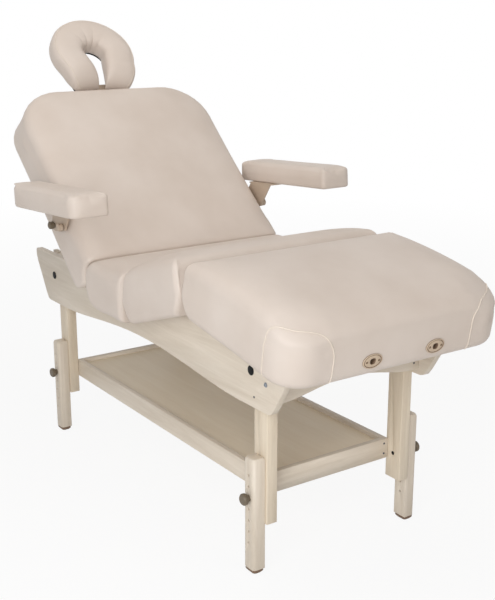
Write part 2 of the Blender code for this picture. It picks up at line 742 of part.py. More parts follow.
def build_knee(root, thigh, leg):
    """The thigh and leg sections, their hinges, and the rocker under the foot end."""
    deck("thigh_deck", thigh, DECK_SETBACK, THIGH_LENGTH - DECK_SETBACK)
    cushion("thigh_cushion", thigh, thigh_rear, thigh_front, 0.02, 0.02, (-OPEN_PAST, THIGH_LENGTH + OPEN_PAST))
    hinge_leaf("thigh_hinge_thigh_leaf", thigh, 0.0, 1, 1)
    inner = LEG_LENGTH - END_WALL
    deck("leg_deck", leg, DECK_SETBACK, inner - SWING)
    pad = cushion("leg_cushion", leg, leg_rear, leg_foot, 0.02, FOOT_CORNER, (-OPEN_PAST, inner))
    end_holes(pad, inner, 1)
    hinge_leaf("knee_hinge_thigh_leaf", thigh, THIGH_LENGTH, -1, 0)
    hinge_leaf("knee_hinge_leg_leaf", leg, 0.0, 1, 1)
    grommets("foot", leg, LEG_LENGTH, 1)

    plate = bmesh.new()
    forks = bmesh.new()
    top = DECK_LOW - GAP
    roof = -FORK_DROP + ROD_R + FORK_CLEAR
    half = FORK_SLOT / 2
    arm = POST_IN_Y - 0.008
    fork_out = arm - ARM_T - 0.004
    outline = [(FORK_REACH - FORK_ROOT, top - FORK_T / 2), (FORK_REACH - half - 0.009, -FORK_DROP - 0.014),
               (FORK_REACH - half, -FORK_DROP - 0.014), (FORK_REACH - half, roof - 0.004),
               (FORK_REACH - half + 0.004, roof), (FORK_REACH + half - 0.004, roof),
               (FORK_REACH + half, roof - 0.004), (FORK_REACH + half, -FORK_DROP - 0.014),
               (FORK_REACH + half + 0.009, -FORK_DROP - 0.014), (FORK_REACH + FORK_ROOT, top - FORK_T / 2)]
    for _, sy in both_sides():
        add_prism(forks, outline, "Y", sy * (fork_out - FORK_T), sy * fork_out)
    half = FORK_ROOT + FORK_T
    add_box(plate, (FORK_REACH - half, -fork_out - 0.003, top - FORK_T), (FORK_REACH + half, fork_out + 0.003, top))
    boolean(node("leg_fork", plate, "steel", leg), forks, "UNION")

    pivot = Vector((ROCKER_X, 0.0, ROCKER_Z))
    bend = Matrix.Rotation(-THIGH_REST * RAD, 3, "Y")
    slope = Matrix.Rotation(LEG_REST * RAD, 3, "Y")
    knee = Vector((THIGH_HINGE_X, 0.0, HINGE_Z)) + bend @ Vector((THIGH_LENGTH, 0.0, 0.0))
    rod_at = knee + slope @ Vector((FORK_REACH, 0.0, -FORK_DROP)) - pivot
    reach = rod_at.length
    lift = math.degrees(math.atan2(rod_at.z, rod_at.x))
    rocker = empty("rocker_axis", pivot, root, -lift)
    arms = bmesh.new()
    half = ARM_W / 2
    outline = [(half * math.cos(a), half * math.sin(a)) for a in [(90 + 18 * k) * RAD for k in range(11)]]
    outline += [(reach + half * math.cos(a), half * math.sin(a)) for a in [(-90 + 18 * k) * RAD for k in range(11)]]
    for _, sy in both_sides():
        low, high = sorted((sy * (arm - ARM_T), sy * arm))
        add_ring(arms, outline, (0.0, 0.0), ROD_R + 0.0004, "Y", low, high)
    rod = bmesh.new()
    add_rod(rod, "Y", (reach, 0.0), ROD_R, -(arm - ARM_T / 2), arm - ARM_T / 2)
    boolean(node("leg_rocker", arms, "steel", rocker), rod, "UNION")
    axle = bmesh.new()
    add_rod(axle, "Y", (ROCKER_X, ROCKER_Z), ROD_R, -(POST_IN_Y - GAP), POST_IN_Y - GAP)
    node("rocker_axle", axle, "steel", root)


def ring_path(steps):
    """Middle line of the face ring, open towards the back, with the outward direction."""
    arc = []
    for k in range(steps + 1):
        angle = (-90 + RING_OPEN + (360 - 2 * RING_OPEN) * k / steps) * RAD
        arc.append(Vector((-FACE_HALF_S * math.sin(angle), FACE_HALF_Y * math.cos(angle), 0.0)))
    points = []
    for k in range(TAIL_STEPS):
        left = 1 - k / TAIL_STEPS
        points.append(arc[0] + Vector((TAIL_L * left, -TAIL_IN * left, 0.0)))
    points += arc
    for k in range(1, TAIL_STEPS + 1):
        points.append(arc[-1] + Vector((TAIL_L * k / TAIL_STEPS, TAIL_IN * k / TAIL_STEPS, 0.0)))
    rows = []
    for k, at in enumerate(points):
        run = points[min(k + 1, len(points) - 1)] - points[max(k - 1, 0)]
        rows.append((at, Vector((run.y, -run.x, 0.0)).normalized()))
    return rows


def build_face_rest(back):
    """The face rest that plugs into the head end of the back."""
    slide = empty("face_slide_axis", (-BACK_LENGTH - BAR_OUT, 0.0, SOCKET_Z), back)
    posts = bmesh.new()
    for _, sy in both_sides():
        add_rod(posts, "X", (sy * SOCKET_Y, 0.0), POST_R, BAR_R / 4, BAR_OUT + END_WALL + POST_IN)
    shell = bmesh.new()
    add_rod(shell, "Y", (0.0, 0.0), BAR_R, -BAR_HALF, BAR_HALF, 20)
    boolean(node("face_frame", shell, "steel", slide), posts, "UNION")

    tilt = empty("face_tilt_axis", (0.0, 0.0, 0.0), slide, FACE_REST)
    clamp = bmesh.new()
    outline = rounded((-0.022, -0.018), (0.018, FACE_BACK - GAP), [0.010, 0.010, 0.003, 0.003], 4)
    add_ring(clamp, outline, (0.0, 0.0), BAR_R + 0.0004, "Y", -CLAMP_HALF, CLAMP_HALF)
    node("face_clamp", clamp, "black", tilt)

    centre = Vector((-FACE_REACH, 0.0, 0.0))
    board = bmesh.new()
    loops = []
    wide = RING_HALF - PLATFORM_INSET
    for at, out in ring_path(20):
        loops.append([centre + at + out * side + Vector((0.0, 0.0, height))
                      for side, height in ((wide, FACE_BACK), (wide, FACE_BACK + PLATFORM_T),
                                           (-wide, FACE_BACK + PLATFORM_T), (-wide, FACE_BACK))])
    add_loft(board, loops)
    node("face_platform", board, "black", tilt)

    ring = bmesh.new()
    loops = []
    low = FACE_BACK + PLATFORM_T + GAP
    path = ring_path(20)
    for k, (at, out) in enumerate(path):
        end = min(k, len(path) - 1 - k)
        size = (0.35, 0.75, 0.93, 1.0)[min(end, 3)]
        loop = []
        for i in range(14):
            angle = 2 * math.pi * (i + 0.5) / 14
            full = 0.35 + 0.65 * size if math.cos(angle) > 0 else 0.75 + 0.25 * size
            side = math.copysign(abs(math.cos(angle)) ** 0.75, math.cos(angle)) * RING_HALF * full
            height = math.copysign(abs(math.sin(angle)) ** 0.75, math.sin(angle)) * RING_H / 2 * size
            loop.append(centre + at + out * side + Vector((0.0, 0.0, low + RING_H / 2 * size + height)))
        loops.append(loop)
    add_loft(ring, loops)
    node("face_cushion", ring, "cream", tilt)


def build_armrests(back, deck_object):
    """An armrest on each side of the back, clamped by a knob whose stud enters the deck edge."""
    drill = bmesh.new()
    for side, sy in both_sides():
        low, high = sorted((sy * (DECK_HALF - STUD_IN), sy * (DECK_HALF + 0.01)))
        add_rod(drill, "Y", (-ARM_U, ARM_N), THREAD_R + 0.0004, low, high, 12)

        tilt = empty(f"armrest_axis_{side}", (-ARM_U, 0.0, ARM_N), back, -ARM_REST)
        shell = bmesh.new()
        top = PAD_LOW - GAP
        heel = BRACKET_HEEL
        nose = LOCK_X + BRACKET_NOSE
        rim = top - FLANGE_T / 2
        outline = [(-heel, -heel * 0.3), (-heel * 0.6, -heel * 0.9), (heel * 0.2, -heel * 1.1),
                   (nose * 0.51, -heel), (nose - heel * 0.4, -heel * 0.6), (nose, heel * 0.2),
                   (nose + BRACKET_LEAN, rim), (heel * 1.1, rim), (-heel * 0.3, rim * 0.56), (-heel, heel * 0.6)]
        low, high = sorted((sy * PLATE_IN, sy * (PLATE_IN + PLATE_T)))
        add_ring(shell, outline, (0.0, 0.0), THREAD_R + 0.0004, "Y", low, high)
        bracket = node(f"armrest_bracket_{side}", shell, "grey", tilt)
        flange = bmesh.new()
        low, high = sorted((sy * (PLATE_IN + 0.001), sy * (PAD_IN + FLANGE_W)))
        add_box(flange, (heel / 2, low, top - FLANGE_T), (nose + BRACKET_LEAN + heel * 0.6, high, top))
        boolean(bracket, flange, "UNION")

        y0, y1 = sorted((sy * PAD_IN, sy * (PAD_IN + PAD_W)))
        radii = [PAD_REAR_R, PAD_FRONT_R, 0.012, 0.012] if sy < 0 else [0.012, 0.012, PAD_FRONT_R, PAD_REAR_R]
        rows = ((0.0, 0.007), (0.08, 0.001), (0.30, 0.0), (0.76, 0.0), (0.89, 0.003), (0.96, 0.010), (1.0, 0.026))
        loops = []
        for height, inset in rows:
            ring_r = [max(r - inset, 0.008) for r in radii]
            outline = rounded((PAD_REAR + inset, y0 + inset), (PAD_FRONT - inset, y1 - inset), ring_r, 6)
            loops.append(spread(outline, "Z", PAD_LOW + PAD_H * height))
        shell = bmesh.new()
        add_loft(shell, loops)
        node(f"armrest_pad_{side}", shell, "cream", tilt)

        face = PLATE_IN + PLATE_T
        grip = ((face + 0.004, 0.008), (face + 0.006, ARM_KNOB_R), (face + 0.020, ARM_KNOB_R),
                (face + 0.023, ARM_KNOB_R - 0.004))
        lock = bmesh.new()
        add_turned(lock, "Y", (LOCK_X, 0.0), ((PLATE_IN + PLATE_T / 2, 0.008), *grip), sy)
        boolean(bracket, lock, "UNION")
        turn = empty(f"armrest_knob_axis_{side}", (-ARM_U, 0.0, ARM_N), back)
        stud = ((DECK_HALF - STUD_IN + GAP, THREAD_R), (face + GAP, THREAD_R), (face + GAP, 0.008))
        shell = bmesh.new()
        add_turned(shell, "Y", (0.0, 0.0), (*stud, *grip), sy)
        node(f"armrest_knob_{side}", shell, "grey", turn)
    boolean(deck_object, drill)


def centre_on_floor(root):
    """Moves the whole table so that the middle of its outer box is over the origin."""
    bpy.context.view_layer.update()
    corners = []
    for item in bpy.data.objects:
        if item.type == "MESH" and not item.hide_render:
            corners += [(item.matrix_world @ vertex.co).x for vertex in item.data.vertices]
    root.location.x -= (min(corners) + max(corners)) / 2
    bpy.context.view_layer.update()


def main():
    clear_scene()
    root = empty("table", (0.0, 0.0, 0.0))
    level = empty("hinge_level", (0.0, 0.0, HINGE_Z), root)
    back = empty("back_axis", (BACK_HINGE_X, 0.0, 0.0), level, BACK_REST)
    thigh = empty("thigh_axis", (THIGH_HINGE_X, 0.0, 0.0), level, -THIGH_REST)
    leg = empty("leg_axis", (THIGH_LENGTH, 0.0, 0.0), thigh, THIGH_REST * LEG_RATIO)
    build_rails(root)
    build_legs(root)
    build_shelf(root)
    build_racks(root)
    build_seat(level)
    back_board = build_back(back)
    build_knee(root, thigh, leg)
    build_face_rest(back)
    build_armrests(back, back_board)
    centre_on_floor(root)


main()
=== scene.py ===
"""Looks of the massage table: cream vinyl pads on a pale wooden frame.

The pads are drawn in the frame of the section that carries them, then set in place.
"""

import json
from math import atan2, copysign, cos, pi, sin, sqrt, tan

import bmesh
import bpy
from mathutils import Matrix, Vector
from mathutils.bvhtree import BVHTree


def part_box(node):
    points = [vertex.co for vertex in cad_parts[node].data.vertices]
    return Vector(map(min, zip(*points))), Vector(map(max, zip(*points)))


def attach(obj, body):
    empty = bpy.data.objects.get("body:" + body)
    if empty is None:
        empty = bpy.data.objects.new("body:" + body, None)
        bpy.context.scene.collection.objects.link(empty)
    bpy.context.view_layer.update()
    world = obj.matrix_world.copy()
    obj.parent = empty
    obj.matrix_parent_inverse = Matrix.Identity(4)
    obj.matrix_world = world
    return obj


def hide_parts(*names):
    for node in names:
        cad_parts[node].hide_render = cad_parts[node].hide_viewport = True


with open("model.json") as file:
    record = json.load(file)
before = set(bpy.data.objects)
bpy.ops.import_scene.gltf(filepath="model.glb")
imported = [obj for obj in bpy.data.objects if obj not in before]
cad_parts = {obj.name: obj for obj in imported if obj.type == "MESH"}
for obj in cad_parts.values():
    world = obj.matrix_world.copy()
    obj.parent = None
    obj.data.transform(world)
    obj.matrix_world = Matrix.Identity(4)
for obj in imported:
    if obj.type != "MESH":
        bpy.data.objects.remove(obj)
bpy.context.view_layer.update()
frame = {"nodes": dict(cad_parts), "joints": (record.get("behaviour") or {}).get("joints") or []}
RAD = pi / 180
QUARTER = pi / 2

# Camera, from the photograph
PHOTO_W = 495
FOCAL = 1037.9  # pixels
CAMERA_AT = (3.0931, -1.9892, 1.7033)  # from the middle of the table
CAMERA_TURN = 55.47
CAMERA_DIP = 15.67

# Slope of each section at rest, degrees about Y
BACK_SLOPE = 42.0
THIGH_SLOPE = -18.5
LEG_SLOPE = 10.0
FACE_SLOPE = BACK_SLOPE + 2.0
ARM_SLOPE = BACK_SLOPE - 45.6

# Pads, heights from the hinge line
HEM = -0.077
HEM_TURN = -0.045  # where the side starts to turn in to the hem
HEM_IN = 0.026  # how far the hem turns in
FULL = 0.062  # side is upright up to here
EDGE = 0.107  # top of the rounded edge
EDGE_IN = 0.043  # how far the rounded edge reaches in
EDGE_SWEEP = 0.97  # share of a quarter turn that it makes
CROWN = 0.1165
CROWN_POWER = 2.2  # how soon the crown levels out
FOOT_ROLL = 1.7  # foot end rounded over more than the sides
KNEE_FLARE = 0.032  # knee ends cut back at the hem
KNEE_CUT = 19.0  # slant of the knee ends, degrees
THIGH_LEAN = 24.5  # slant of the thigh's rear end
HALF_WIDTH = 0.4245
PULL_IN = 0.004  # sides between the corners
SWING = 0.004  # room at a hinge
BULLNOSE_R = 0.090  # rounded rear end of the seat
BULLNOSE_Z = 0.020
BACK_SWEEP = 45  # travel of the back, degrees
SEAT_LIP = 0.085  # height over which the front end of the seat rolls in
SEAT_LIP_IN = 0.012  # and how far
SEAT_HEM_IN = 0.010  # how far it is cut back at the hem
BACK_LIP = 0.080  # the same for the lower end of the back
BACK_LIP_IN = 0.020
BACK_HEM_IN = 0.040
DECK_TOP = 0.0223
DECK_HALF = 0.3333
END_WALL = 0.055
SEAT_FROM = -0.225  # back hinge, from the middle of the table
SEAT_TO = 0.055
THIGH_LENGTH = 0.410
BACK_LENGTH = 0.8795
LEG_LENGTH = 0.5715
SOCKET_Y = 0.122
SOCKET_Z = -0.026
WALL_HOLE = 0.0126
STEP = 0.016  # mesh spacing
CORNER_STEPS = 8
LEAST_LENGTH = 0.03  # a crown's rings get no smaller
LEAST_HALF = 0.015
FILL_FRAMES = 14
FILL_CAP = 0.005  # how far a point of the skin may move as a pad fills
HELD_FROM = 0.045  # height below which the skin starts to be held
HELD_FADE = 0.06  # and how much lower it is held fast
HINGE_FADE = 0.05  # the same along the pad, near a hinge
SKIN = {
    "quality": 4, "mass": 0.3, "tension_stiffness": 30, "compression_stiffness": 25,
    "shear_stiffness": 12, "bending_stiffness": 2.0, "use_pressure": True,
    "uniform_pressure_force": 4.0, "vertex_group_mass": "held",
}

# Corner radii seen from above, at the hem and higher up: at the hinges, the head and the foot
HINGE_R = (0.02, 0.02)
HEAD_R = (0.16, 0.195)
FOOT_R = (0.10, 0.10)
LEAST_R = 0.014
CORNER_ROOM = 0.94  # share of the half width that a corner may take
CORNER_RISE = 0.06  # height over which a corner takes its upper radius

# Face ring
FACE_REACH = 0.133
FACE_LOW = 0.075
FACE_HALF_Y = 0.108
FACE_HALF_S = 0.104
RING_HALF = 0.0735
RING_H = 0.092
RING_OPEN = 58.0
TAIL_L = 0.103
TAIL_IN = 0.016
RING_SKIN = 0.002  # skin inside the ring's full size before it fills
HOLE_ROOM = 0.010  # how much thinner it is towards the hole
SLOT_TIP = 0.012  # half width of the slot at the tips of the tails
BOW_STEPS = 64  # points along half of the bow
TAIL_STEPS = 18  # along a tail
TIP_STEPS = 14  # and along its rounded tip
TIP_SIZE = 0.12  # share of the roll's height at a tip
TAIL_SLIM = 0.58  # share of its outer width lost there
PLEAT_DEPTH = 0.0050
PLEAT_REACH = 0.20  # pleated share of the ring, each way from its far end
PLEAT_TURNS = 7.5
RING_TOP_POWER = 0.70  # roundness of the roll in front, 1 is an ellipse and 0 a box
RING_LOW_POWER = 0.42  # and behind
RING_AROUND = 40  # points round the roll
RING_SEAM = 4  # which of them the boxing seam follows

# Arm pads
PAD_IN = 0.449
PAD_W = 0.138
PAD_FRONT = 0.481
PAD_REAR = -0.075
PAD_LOW = 0.082
PAD_H = 0.077
PAD_FRONT_R = 0.034
PAD_REAR_R = 0.100
PAD_INNER_R = 0.014
PAD_EDGE = 0.013  # roll of the upper edge
PAD_COUNTS = (36, 12, 8)  # points along a side, across an end and round a corner

# Corner patch of the leg section, from the foot end
PATCH_SIDE = 0.017  # before the corner starts, on the side
PATCH_END = 0.058  # after the corner, on the end
PATCH_SIDE_UP = 0.058  # height where the arch starts, on the side
PATCH_END_UP = 0.0  # and on the end
PATCH_TOP = 0.101  # top of the arch, measured up the side and over the edge
PATCH_TURN = FOOT_R[0] * QUARTER  # way round the corner
PIPING_R = 0.0020
RING_CORD_R = 0.0014  # seam of the face ring

# Oval socket plates of the foot end
PLATE_HALF = (0.037, 0.023)
HOLE_HALF = (0.0098, 0.0108)
PLATE_SCREW_Y = 0.0225
PLATE_SCREW_OUT = 0.0034
PLATE_COUNT = 48  # points round a plate
PLATE_SHADE_AND_HOLE = (0, 4, 5, 6, 12, 13, 14)  # rows painted brown: the foot of the rim and the groove as painted shade lines, and the hole

# Rows of a plate's face and of its hole: share of the half size, and how far out of the foot end
PLATE_FACE = ((1.0, 0.0008), (1.0, 0.0022), (0.975, 0.0034), (0.93, 0.0038), (0.885, 0.0034),
              (0.86, 0.0020), (0.83, 0.0018), (0.80, 0.0028), (0.74, 0.0034), (0.58, 0.0036),
              (0.42, 0.0036))
PLATE_HOLE = ((1.25, 0.0035), (1.08, 0.0032), (1.0, 0.0022), (1.0, -0.0080), (1.12, -0.0080),
              (1.12, 0.0008))

# Cup that lines a socket: radius, and how far out of the foot end
CUP_COUNT = 24
CUP = ((0.0096, -0.046), (0.0096, -0.0085), (0.0108, -0.0085), (0.0108, -0.048))

SHELF_T = 0.020  # boards round the shelf

# Bolts and screws: along or across from the middle of the table, and up
RAIL_BOLT = (0.760, 0.639)
RAIL_SCREW = (0.700, 0.582)
APRON_SCREWS = ((0.272, 0.592), (0.272, 0.640))
SHELF_SCREWS = ((0.236, 0.250), (0.236, 0.286))
STUD_SIDE = 0.012  # beside the hole of a leg knob's stud
CLEAR = 1.5  # a point this far out is clear of the frame

# Turned fasteners, radius and height pairs
BOLT = ((0.0078, 0.0), (0.0078, 0.0010), (0.0070, 0.0014), (0.0054, 0.0014), (0.0054, 0.0036),
        (0.0047, 0.0042), (0.0032, 0.0042), (0.0032, 0.0012))
SCREW = ((0.0038, 0.0), (0.0038, 0.0004), (0.0033, 0.0011), (0.0023, 0.0016), (0.0014, 0.0017),
         (0.0009, 0.0006))
INSERT = ((0.0066, 0.0), (0.0066, 0.0006), (0.0058, 0.0010))

# Soft lamps: place, watts and colour
LAMPS = {
    "front": ((2.9, -3.0, 1.95), 105, (0.98, 0.99, 1.0)),
    "fill": ((4.2, 1.6, 2.4), 19, (1.0, 0.90, 0.80)),
    "top": ((-0.2, 0.4, 4.6), 20, (1.0, 0.93, 0.87)),
    "head": ((-0.2, -0.6, 3.0), 14, (1.0, 0.94, 0.88)),
}
LAMP_SIZE = 3.0
LAMP_AIM = (0.1, 0.0, 0.8)
ROOM_LIGHT = 0.32
WHITE = (1.0, 1.0, 1.0, 1.0)
FLOOR_HALF = 60.0
FLOOR_WHITE = 0.9  # share of plain white in the near floor that the camera sees
FLOOR_FADE = (1.5, 6.0)  # distances between which that share grows to the whole
SENSOR = 36.0

SIDES = (("left", -1), ("right", 1))
ENDS = (("head", -1), ("foot", 1))


def clamped(value):
    """The value, held between 0 and 1."""
    return min(max(value, 0.0), 1.0)


def joint_at(name):
    """Where a joint's axis passes, at rest."""
    return next(Vector(joint["pos_m"]) for joint in frame["joints"] if joint["name"] == name)


def placed(at, slope):
    """Matrix of a section that turns about Y."""
    return Matrix.Translation(at) @ Matrix.Rotation(slope * RAD, 4, "Y")


MID = sum(corner.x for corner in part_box("side_rail_left")) / 2  # mid length of the wooden frame
LEVEL_AT = placed(Vector((MID, 0.0, joint_at("back_tilt").z)), 0.0)
BACK_AT = placed(joint_at("back_tilt"), BACK_SLOPE)
THIGH_AT = placed(joint_at("thigh_lift"), THIGH_SLOPE)
LEG_AT = placed(joint_at("leg_bend"), LEG_SLOPE)
FACE_AT = placed(joint_at("face_tilt"), FACE_SLOPE)


class Field:
    """A value that changes over a surface; sums and products of it become nodes."""

    def __init__(self, tree, socket=None):
        self.tree = tree
        self.socket = socket

    def node(self, kind, inputs, output=0, **settings):
        made = self.tree.nodes.new(kind)
        for key, value in settings.items():
            setattr(made, key, value)
        for key, value in inputs.items():
            if isinstance(value, Field):
                self.tree.links.new(value.socket, made.inputs[key])
            else:
                made.inputs[key].default_value = value
        return Field(self.tree, made.outputs[output])

    def math(self, operation, first, second=0.0):
        return self.node("ShaderNodeMath", {0: first, 1: second}, operation=operation)

    def __add__(self, other):
        return self.math("ADD", self, other)

    __radd__ = __add__

    def __sub__(self, other):
        return self.math("SUBTRACT", self, other)

    def __rsub__(self, other):
        return self.math("SUBTRACT", other, self)

    def __mul__(self, other):
        return self.math("MULTIPLY", self, other)

    __rmul__ = __mul__

    def between(self, low, high):
        """0 at low and 1 at high, held outside."""
        return self.node("ShaderNodeMapRange", {0: self, 1: low, 2: high}, clamp=True)

    def stretched(self, amounts):
        return self.node("ShaderNodeVectorMath", {0: self, 1: amounts}, operation="MULTIPLY")

    def noise(self, scale, detail=2.0, rough=0.5, twist=0.0):
        shape = {"Scale": scale, "Detail": detail, "Roughness": rough, "Distortion": twist}
        return self.node("ShaderNodeTexNoise", {"Vector": self, **shape})

    def cells(self, scale):
        return self.node("ShaderNodeTexVoronoi", {"Vector": self, "Scale": scale},
                         feature="DISTANCE_TO_EDGE")

    def axis(self, number):
        return self.node("ShaderNodeSeparateXYZ", {0: self}, number)

    def tint(self, low, high):
        """Colour from low to high as the value goes from 0 to 1."""
        colours = {0: self, 6: (*low, 1.0), 7: (*high, 1.0)}
        return self.node("ShaderNodeMix", colours, 2, data_type="RGBA")

    def bump(self, strength):
        """Surface direction from heights in metres."""
        return self.node("ShaderNodeBump", {"Strength": strength, "Distance": 1.0, "Height": self})


def surface(name, **settings):
    """A new material, its shader and the place on the object as a field."""
    made = bpy.data.materials.new(name)
    made.use_nodes = True
    tree = made.node_tree
    shader = tree.nodes["Principled BSDF"]
    for key, value in settings.items():
        shader.inputs[key.replace("_", " ")].default_value = value
    place = Field(tree).node("ShaderNodeTexCoord", {}, 3)
    return made, shader, place


def feed(shader, **fields):
    """Joins fields to the shader's inputs."""
    for key, field in fields.items():
        field.tree.links.new(field.socket, shader.inputs[key.replace("_", " ")])


def vinyl(name, dark, light):
    """Soft grained vinyl over foam."""
    made, shader, place = surface(name, Specular_IOR_Level=0.42)
    cloud = place.noise(5.0, 3.0)
    speck = place.noise(420.0, 2.0)
    grain = place.cells(820.0)
    crease = place.noise(23.0, 3.0, 0.55)
    shade = cloud.between(0.25, 0.75) * 0.75 + speck * 0.25
    feed(shader, Base_Color=shade.tint(dark, light), Roughness=0.40 + speck * 0.16)
    height = grain.between(0.0, 0.22) * 0.00010 + speck * 0.00006 + crease * 0.00035
    feed(shader, Normal=height.bump(0.65))
    return made


def grain_fields(place, axis):
    """Figure, fibres and pores of wood that grew along one axis."""
    squeeze = [9.0, 9.0, 9.0]
    squeeze[axis] = 0.75
    along = place.stretched(squeeze)
    return along.noise(3.0, 5.0, 0.6, 0.8), along.noise(38.0, 4.0, 0.7), along.noise(120.0, 2.0, 0.6)


def wood(name, grain_axis, dark, light, crossed=None):
    """Pale varnished maple, its grain along one axis; further out than crossed it runs along Y."""
    made, shader, place = surface(name)
    figure, fibre, pores = grain_fields(place, grain_axis)
    if crossed:
        share = place.math("ABSOLUTE", place.axis(0) - MID).between(crossed - 0.0005, crossed)
        figure, fibre, pores = [lengthwise + (across - lengthwise) * share for lengthwise, across
                                in zip((figure, fibre, pores), grain_fields(place, 1))]
    shade = figure.between(0.30, 0.72) * 0.65 + fibre * 0.35
    feed(shader, Base_Color=shade.tint(dark, light), Roughness=0.38 + fibre * 0.2)
    feed(shader, Normal=(fibre * 0.00012 + pores.between(0.35, 0.6) * 0.00008).bump(0.6))
    return made


def plastic(name, dark, light, rough=0.42, shine=0.5):
    """Moulded plastic with a fine textured skin."""
    made, shader, place = surface(name, Specular_IOR_Level=shine)
    speck = place.noise(900.0, 2.0)
    cloud = place.noise(40.0, 2.0)
    shade = cloud * 0.7 + speck * 0.3
    feed(shader, Base_Color=shade.tint(dark, light), Roughness=rough + speck * 0.15)
    feed(shader, Normal=(speck * 0.00008).bump(0.5))
    return made


def metal(name, dark, light, rough=0.28):
    """Plated steel with faint brushing."""
    made, shader, place = surface(name, Metallic=1.0)
    streak = place.stretched((40.0, 400.0, 400.0)).noise(3.0, 3.0)
    cloud = place.noise(30.0, 2.0)
    shade = cloud * 0.6 + streak * 0.4
    feed(shader, Base_Color=shade.tint(dark, light), Roughness=rough + streak * 0.2)
    feed(shader, Normal=(streak * 0.00003).bump(0.5))
    return made


def make_finishes():
    """All the materials of the table."""
    pale = ((0.600, 0.512, 0.405), (0.825, 0.742, 0.635))
    warm = ((0.625, 0.520, 0.390), (0.855, 0.755, 0.610))
    shelf_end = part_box("shelf_frame")[1].x - MID
    return {
        "vinyl": vinyl("cream vinyl", (0.642, 0.550, 0.478), (0.736, 0.652, 0.586)),
        "welt": vinyl("pale piping", (0.70, 0.61, 0.52), (0.80, 0.72, 0.63)),
        "wood_x": wood("maple along X", 0, *pale),
        "wood_y": wood("maple along Y", 1, *pale),
        "wood_z": wood("maple upright", 2, *pale),
        "wood_post": wood("warm maple upright", 2, *warm),
        "wood_shelf": wood("maple round the shelf", 0, *pale, shelf_end - SHELF_T),
        "ply": wood("plywood", 0, (0.50, 0.38, 0.25), (0.66, 0.53, 0.38)),
        "black": plastic("black plastic", (0.004, 0.004, 0.004), (0.010, 0.010, 0.011), 0.50, 0.15),
        "grey": plastic("taupe plastic", (0.125, 0.098, 0.066), (0.190, 0.150, 0.105), 0.36, 0.35),
        "beige": plastic("beige bracket", (0.47, 0.37, 0.28), (0.56, 0.45, 0.35), 0.40),
        # shelf board painted lighter than its wood, as painted light standing in for light that reaches
        # it under the tabletop
        "panel": wood("shelf board", 0, (0.850, 0.730, 0.555), (0.950, 0.850, 0.680)),
        "tan": plastic("tan plastic", (0.52, 0.40, 0.285), (0.62, 0.49, 0.36), 0.36),
        "brown": plastic("brown plastic", (0.14, 0.085, 0.05), (0.22, 0.14, 0.09), 0.5),
        "steel": metal("plated steel", (0.34, 0.34, 0.35), (0.48, 0.48, 0.49)),
        "brown_screw": metal("bronze screw", (0.16, 0.11, 0.07), (0.26, 0.19, 0.13), 0.35),
        "dark_steel": metal("dark screw", (0.09, 0.09, 0.095), (0.17, 0.17, 0.175), 0.34),
        "bright": metal("bright bolt", (0.26, 0.28, 0.31), (0.40, 0.43, 0.46), 0.2),
    }


FINISH = make_finishes()

# Finish of a solid by a word in its name, the first that fits
SOLID_FINISH = {
    "slider": "wood_z", "leg_post": "wood_post", "shelf_frame": "wood_shelf", "apron": "wood_y",
    "side_rail": "wood_x", "prop_rack": "wood_x", "shelf_panel": "panel", "deck": "ply",
    "head_socket_block": "ply", "cap": "black", "face_platform": "black", "grommet": "tan",
    "glide": "brown", "bracket": "beige", "face_clamp": "beige", "knob": "grey", "": "steel",
}


def change(item, kind, **settings):
    """Adds a modifier to an object."""
    added = item.modifiers.new(kind.lower(), kind)
    for key, value in settings.items():
        setattr(added, key, value)
    return added


def finish_solids():
    """Gives each solid its finish, and softens the edges of the wood."""
    for name, item in frame["nodes"].items():
        if "cushion" in name or "armrest_pad" in name:
            continue
        kind = next(finish for word, finish in SOLID_FINISH.items() if word in name)
        item.data.materials.clear()
        item.data.materials.append(FINISH[kind])
        for face in item.data.polygons:
            face.use_smooth = True
        change(item, "WELD", merge_threshold=0.00003)
        if kind.startswith("wood"):
            change(item, "BEVEL", width=0.0022, segments=2, limit_method="ANGLE",
                   angle_limit=40 * RAD, harden_normals=True)
        else:
            change(item, "EDGE_SPLIT", split_angle=38 * RAD)


def linked(name, data):
    """A new object, put in the scene."""
    made = bpy.data.objects.new(name, data)
    bpy.context.scene.collection.objects.link(made)
    return made


def plain_object(name, shell, material=None):
    """Turns a bmesh into an object at the origin."""
    mesh = bpy.data.meshes.new(name)
    shell.to_mesh(mesh)
    shell.free()
    if material:
        mesh.materials.append(material)
    return linked(name, mesh)


def baked(item):
    """Replaces an object's mesh by its evaluated one and drops the modifiers."""
    bpy.context.view_layer.update()
    depsgraph = bpy.context.evaluated_depsgraph_get()
    mesh = bpy.data.meshes.new_from_object(item.evaluated_get(depsgraph))
    item.modifiers.clear()
    item.data = mesh


def smooth(item, angle=50):
    """Shades an object smooth, but for edges sharper than the angle."""
    for face in item.data.polygons:
        face.use_smooth = True
    item.data.set_sharp_from_angle(angle=angle * RAD)


def line(start, end, count):
    """Points from start up to, not at, end."""
    return [start.lerp(end, k / count) for k in range(count)]


def outline(low, high, radii, counts):
    """Points round a rectangle from its low corner, each corner with its own radius."""
    along, across, turn = counts
    arcs = []
    for k, radius in enumerate(radii):
        x = low[0] + radius if k in (0, 3) else high[0] - radius
        y = low[1] + radius if k < 2 else high[1] - radius
        start = (180 + 90 * k) % 360
        angles = [(start + 90 * step / turn) * RAD for step in range(turn + 1)]
        arcs.append([Vector((x, y)) + Vector((cos(a), sin(a))) * radius for a in angles])
    points = []
    for k, arc in enumerate(arcs):
        points += arc[:-1]
        points += line(arc[-1], arcs[(k + 1) % 4][0], along if k % 2 == 0 else across)
    return points


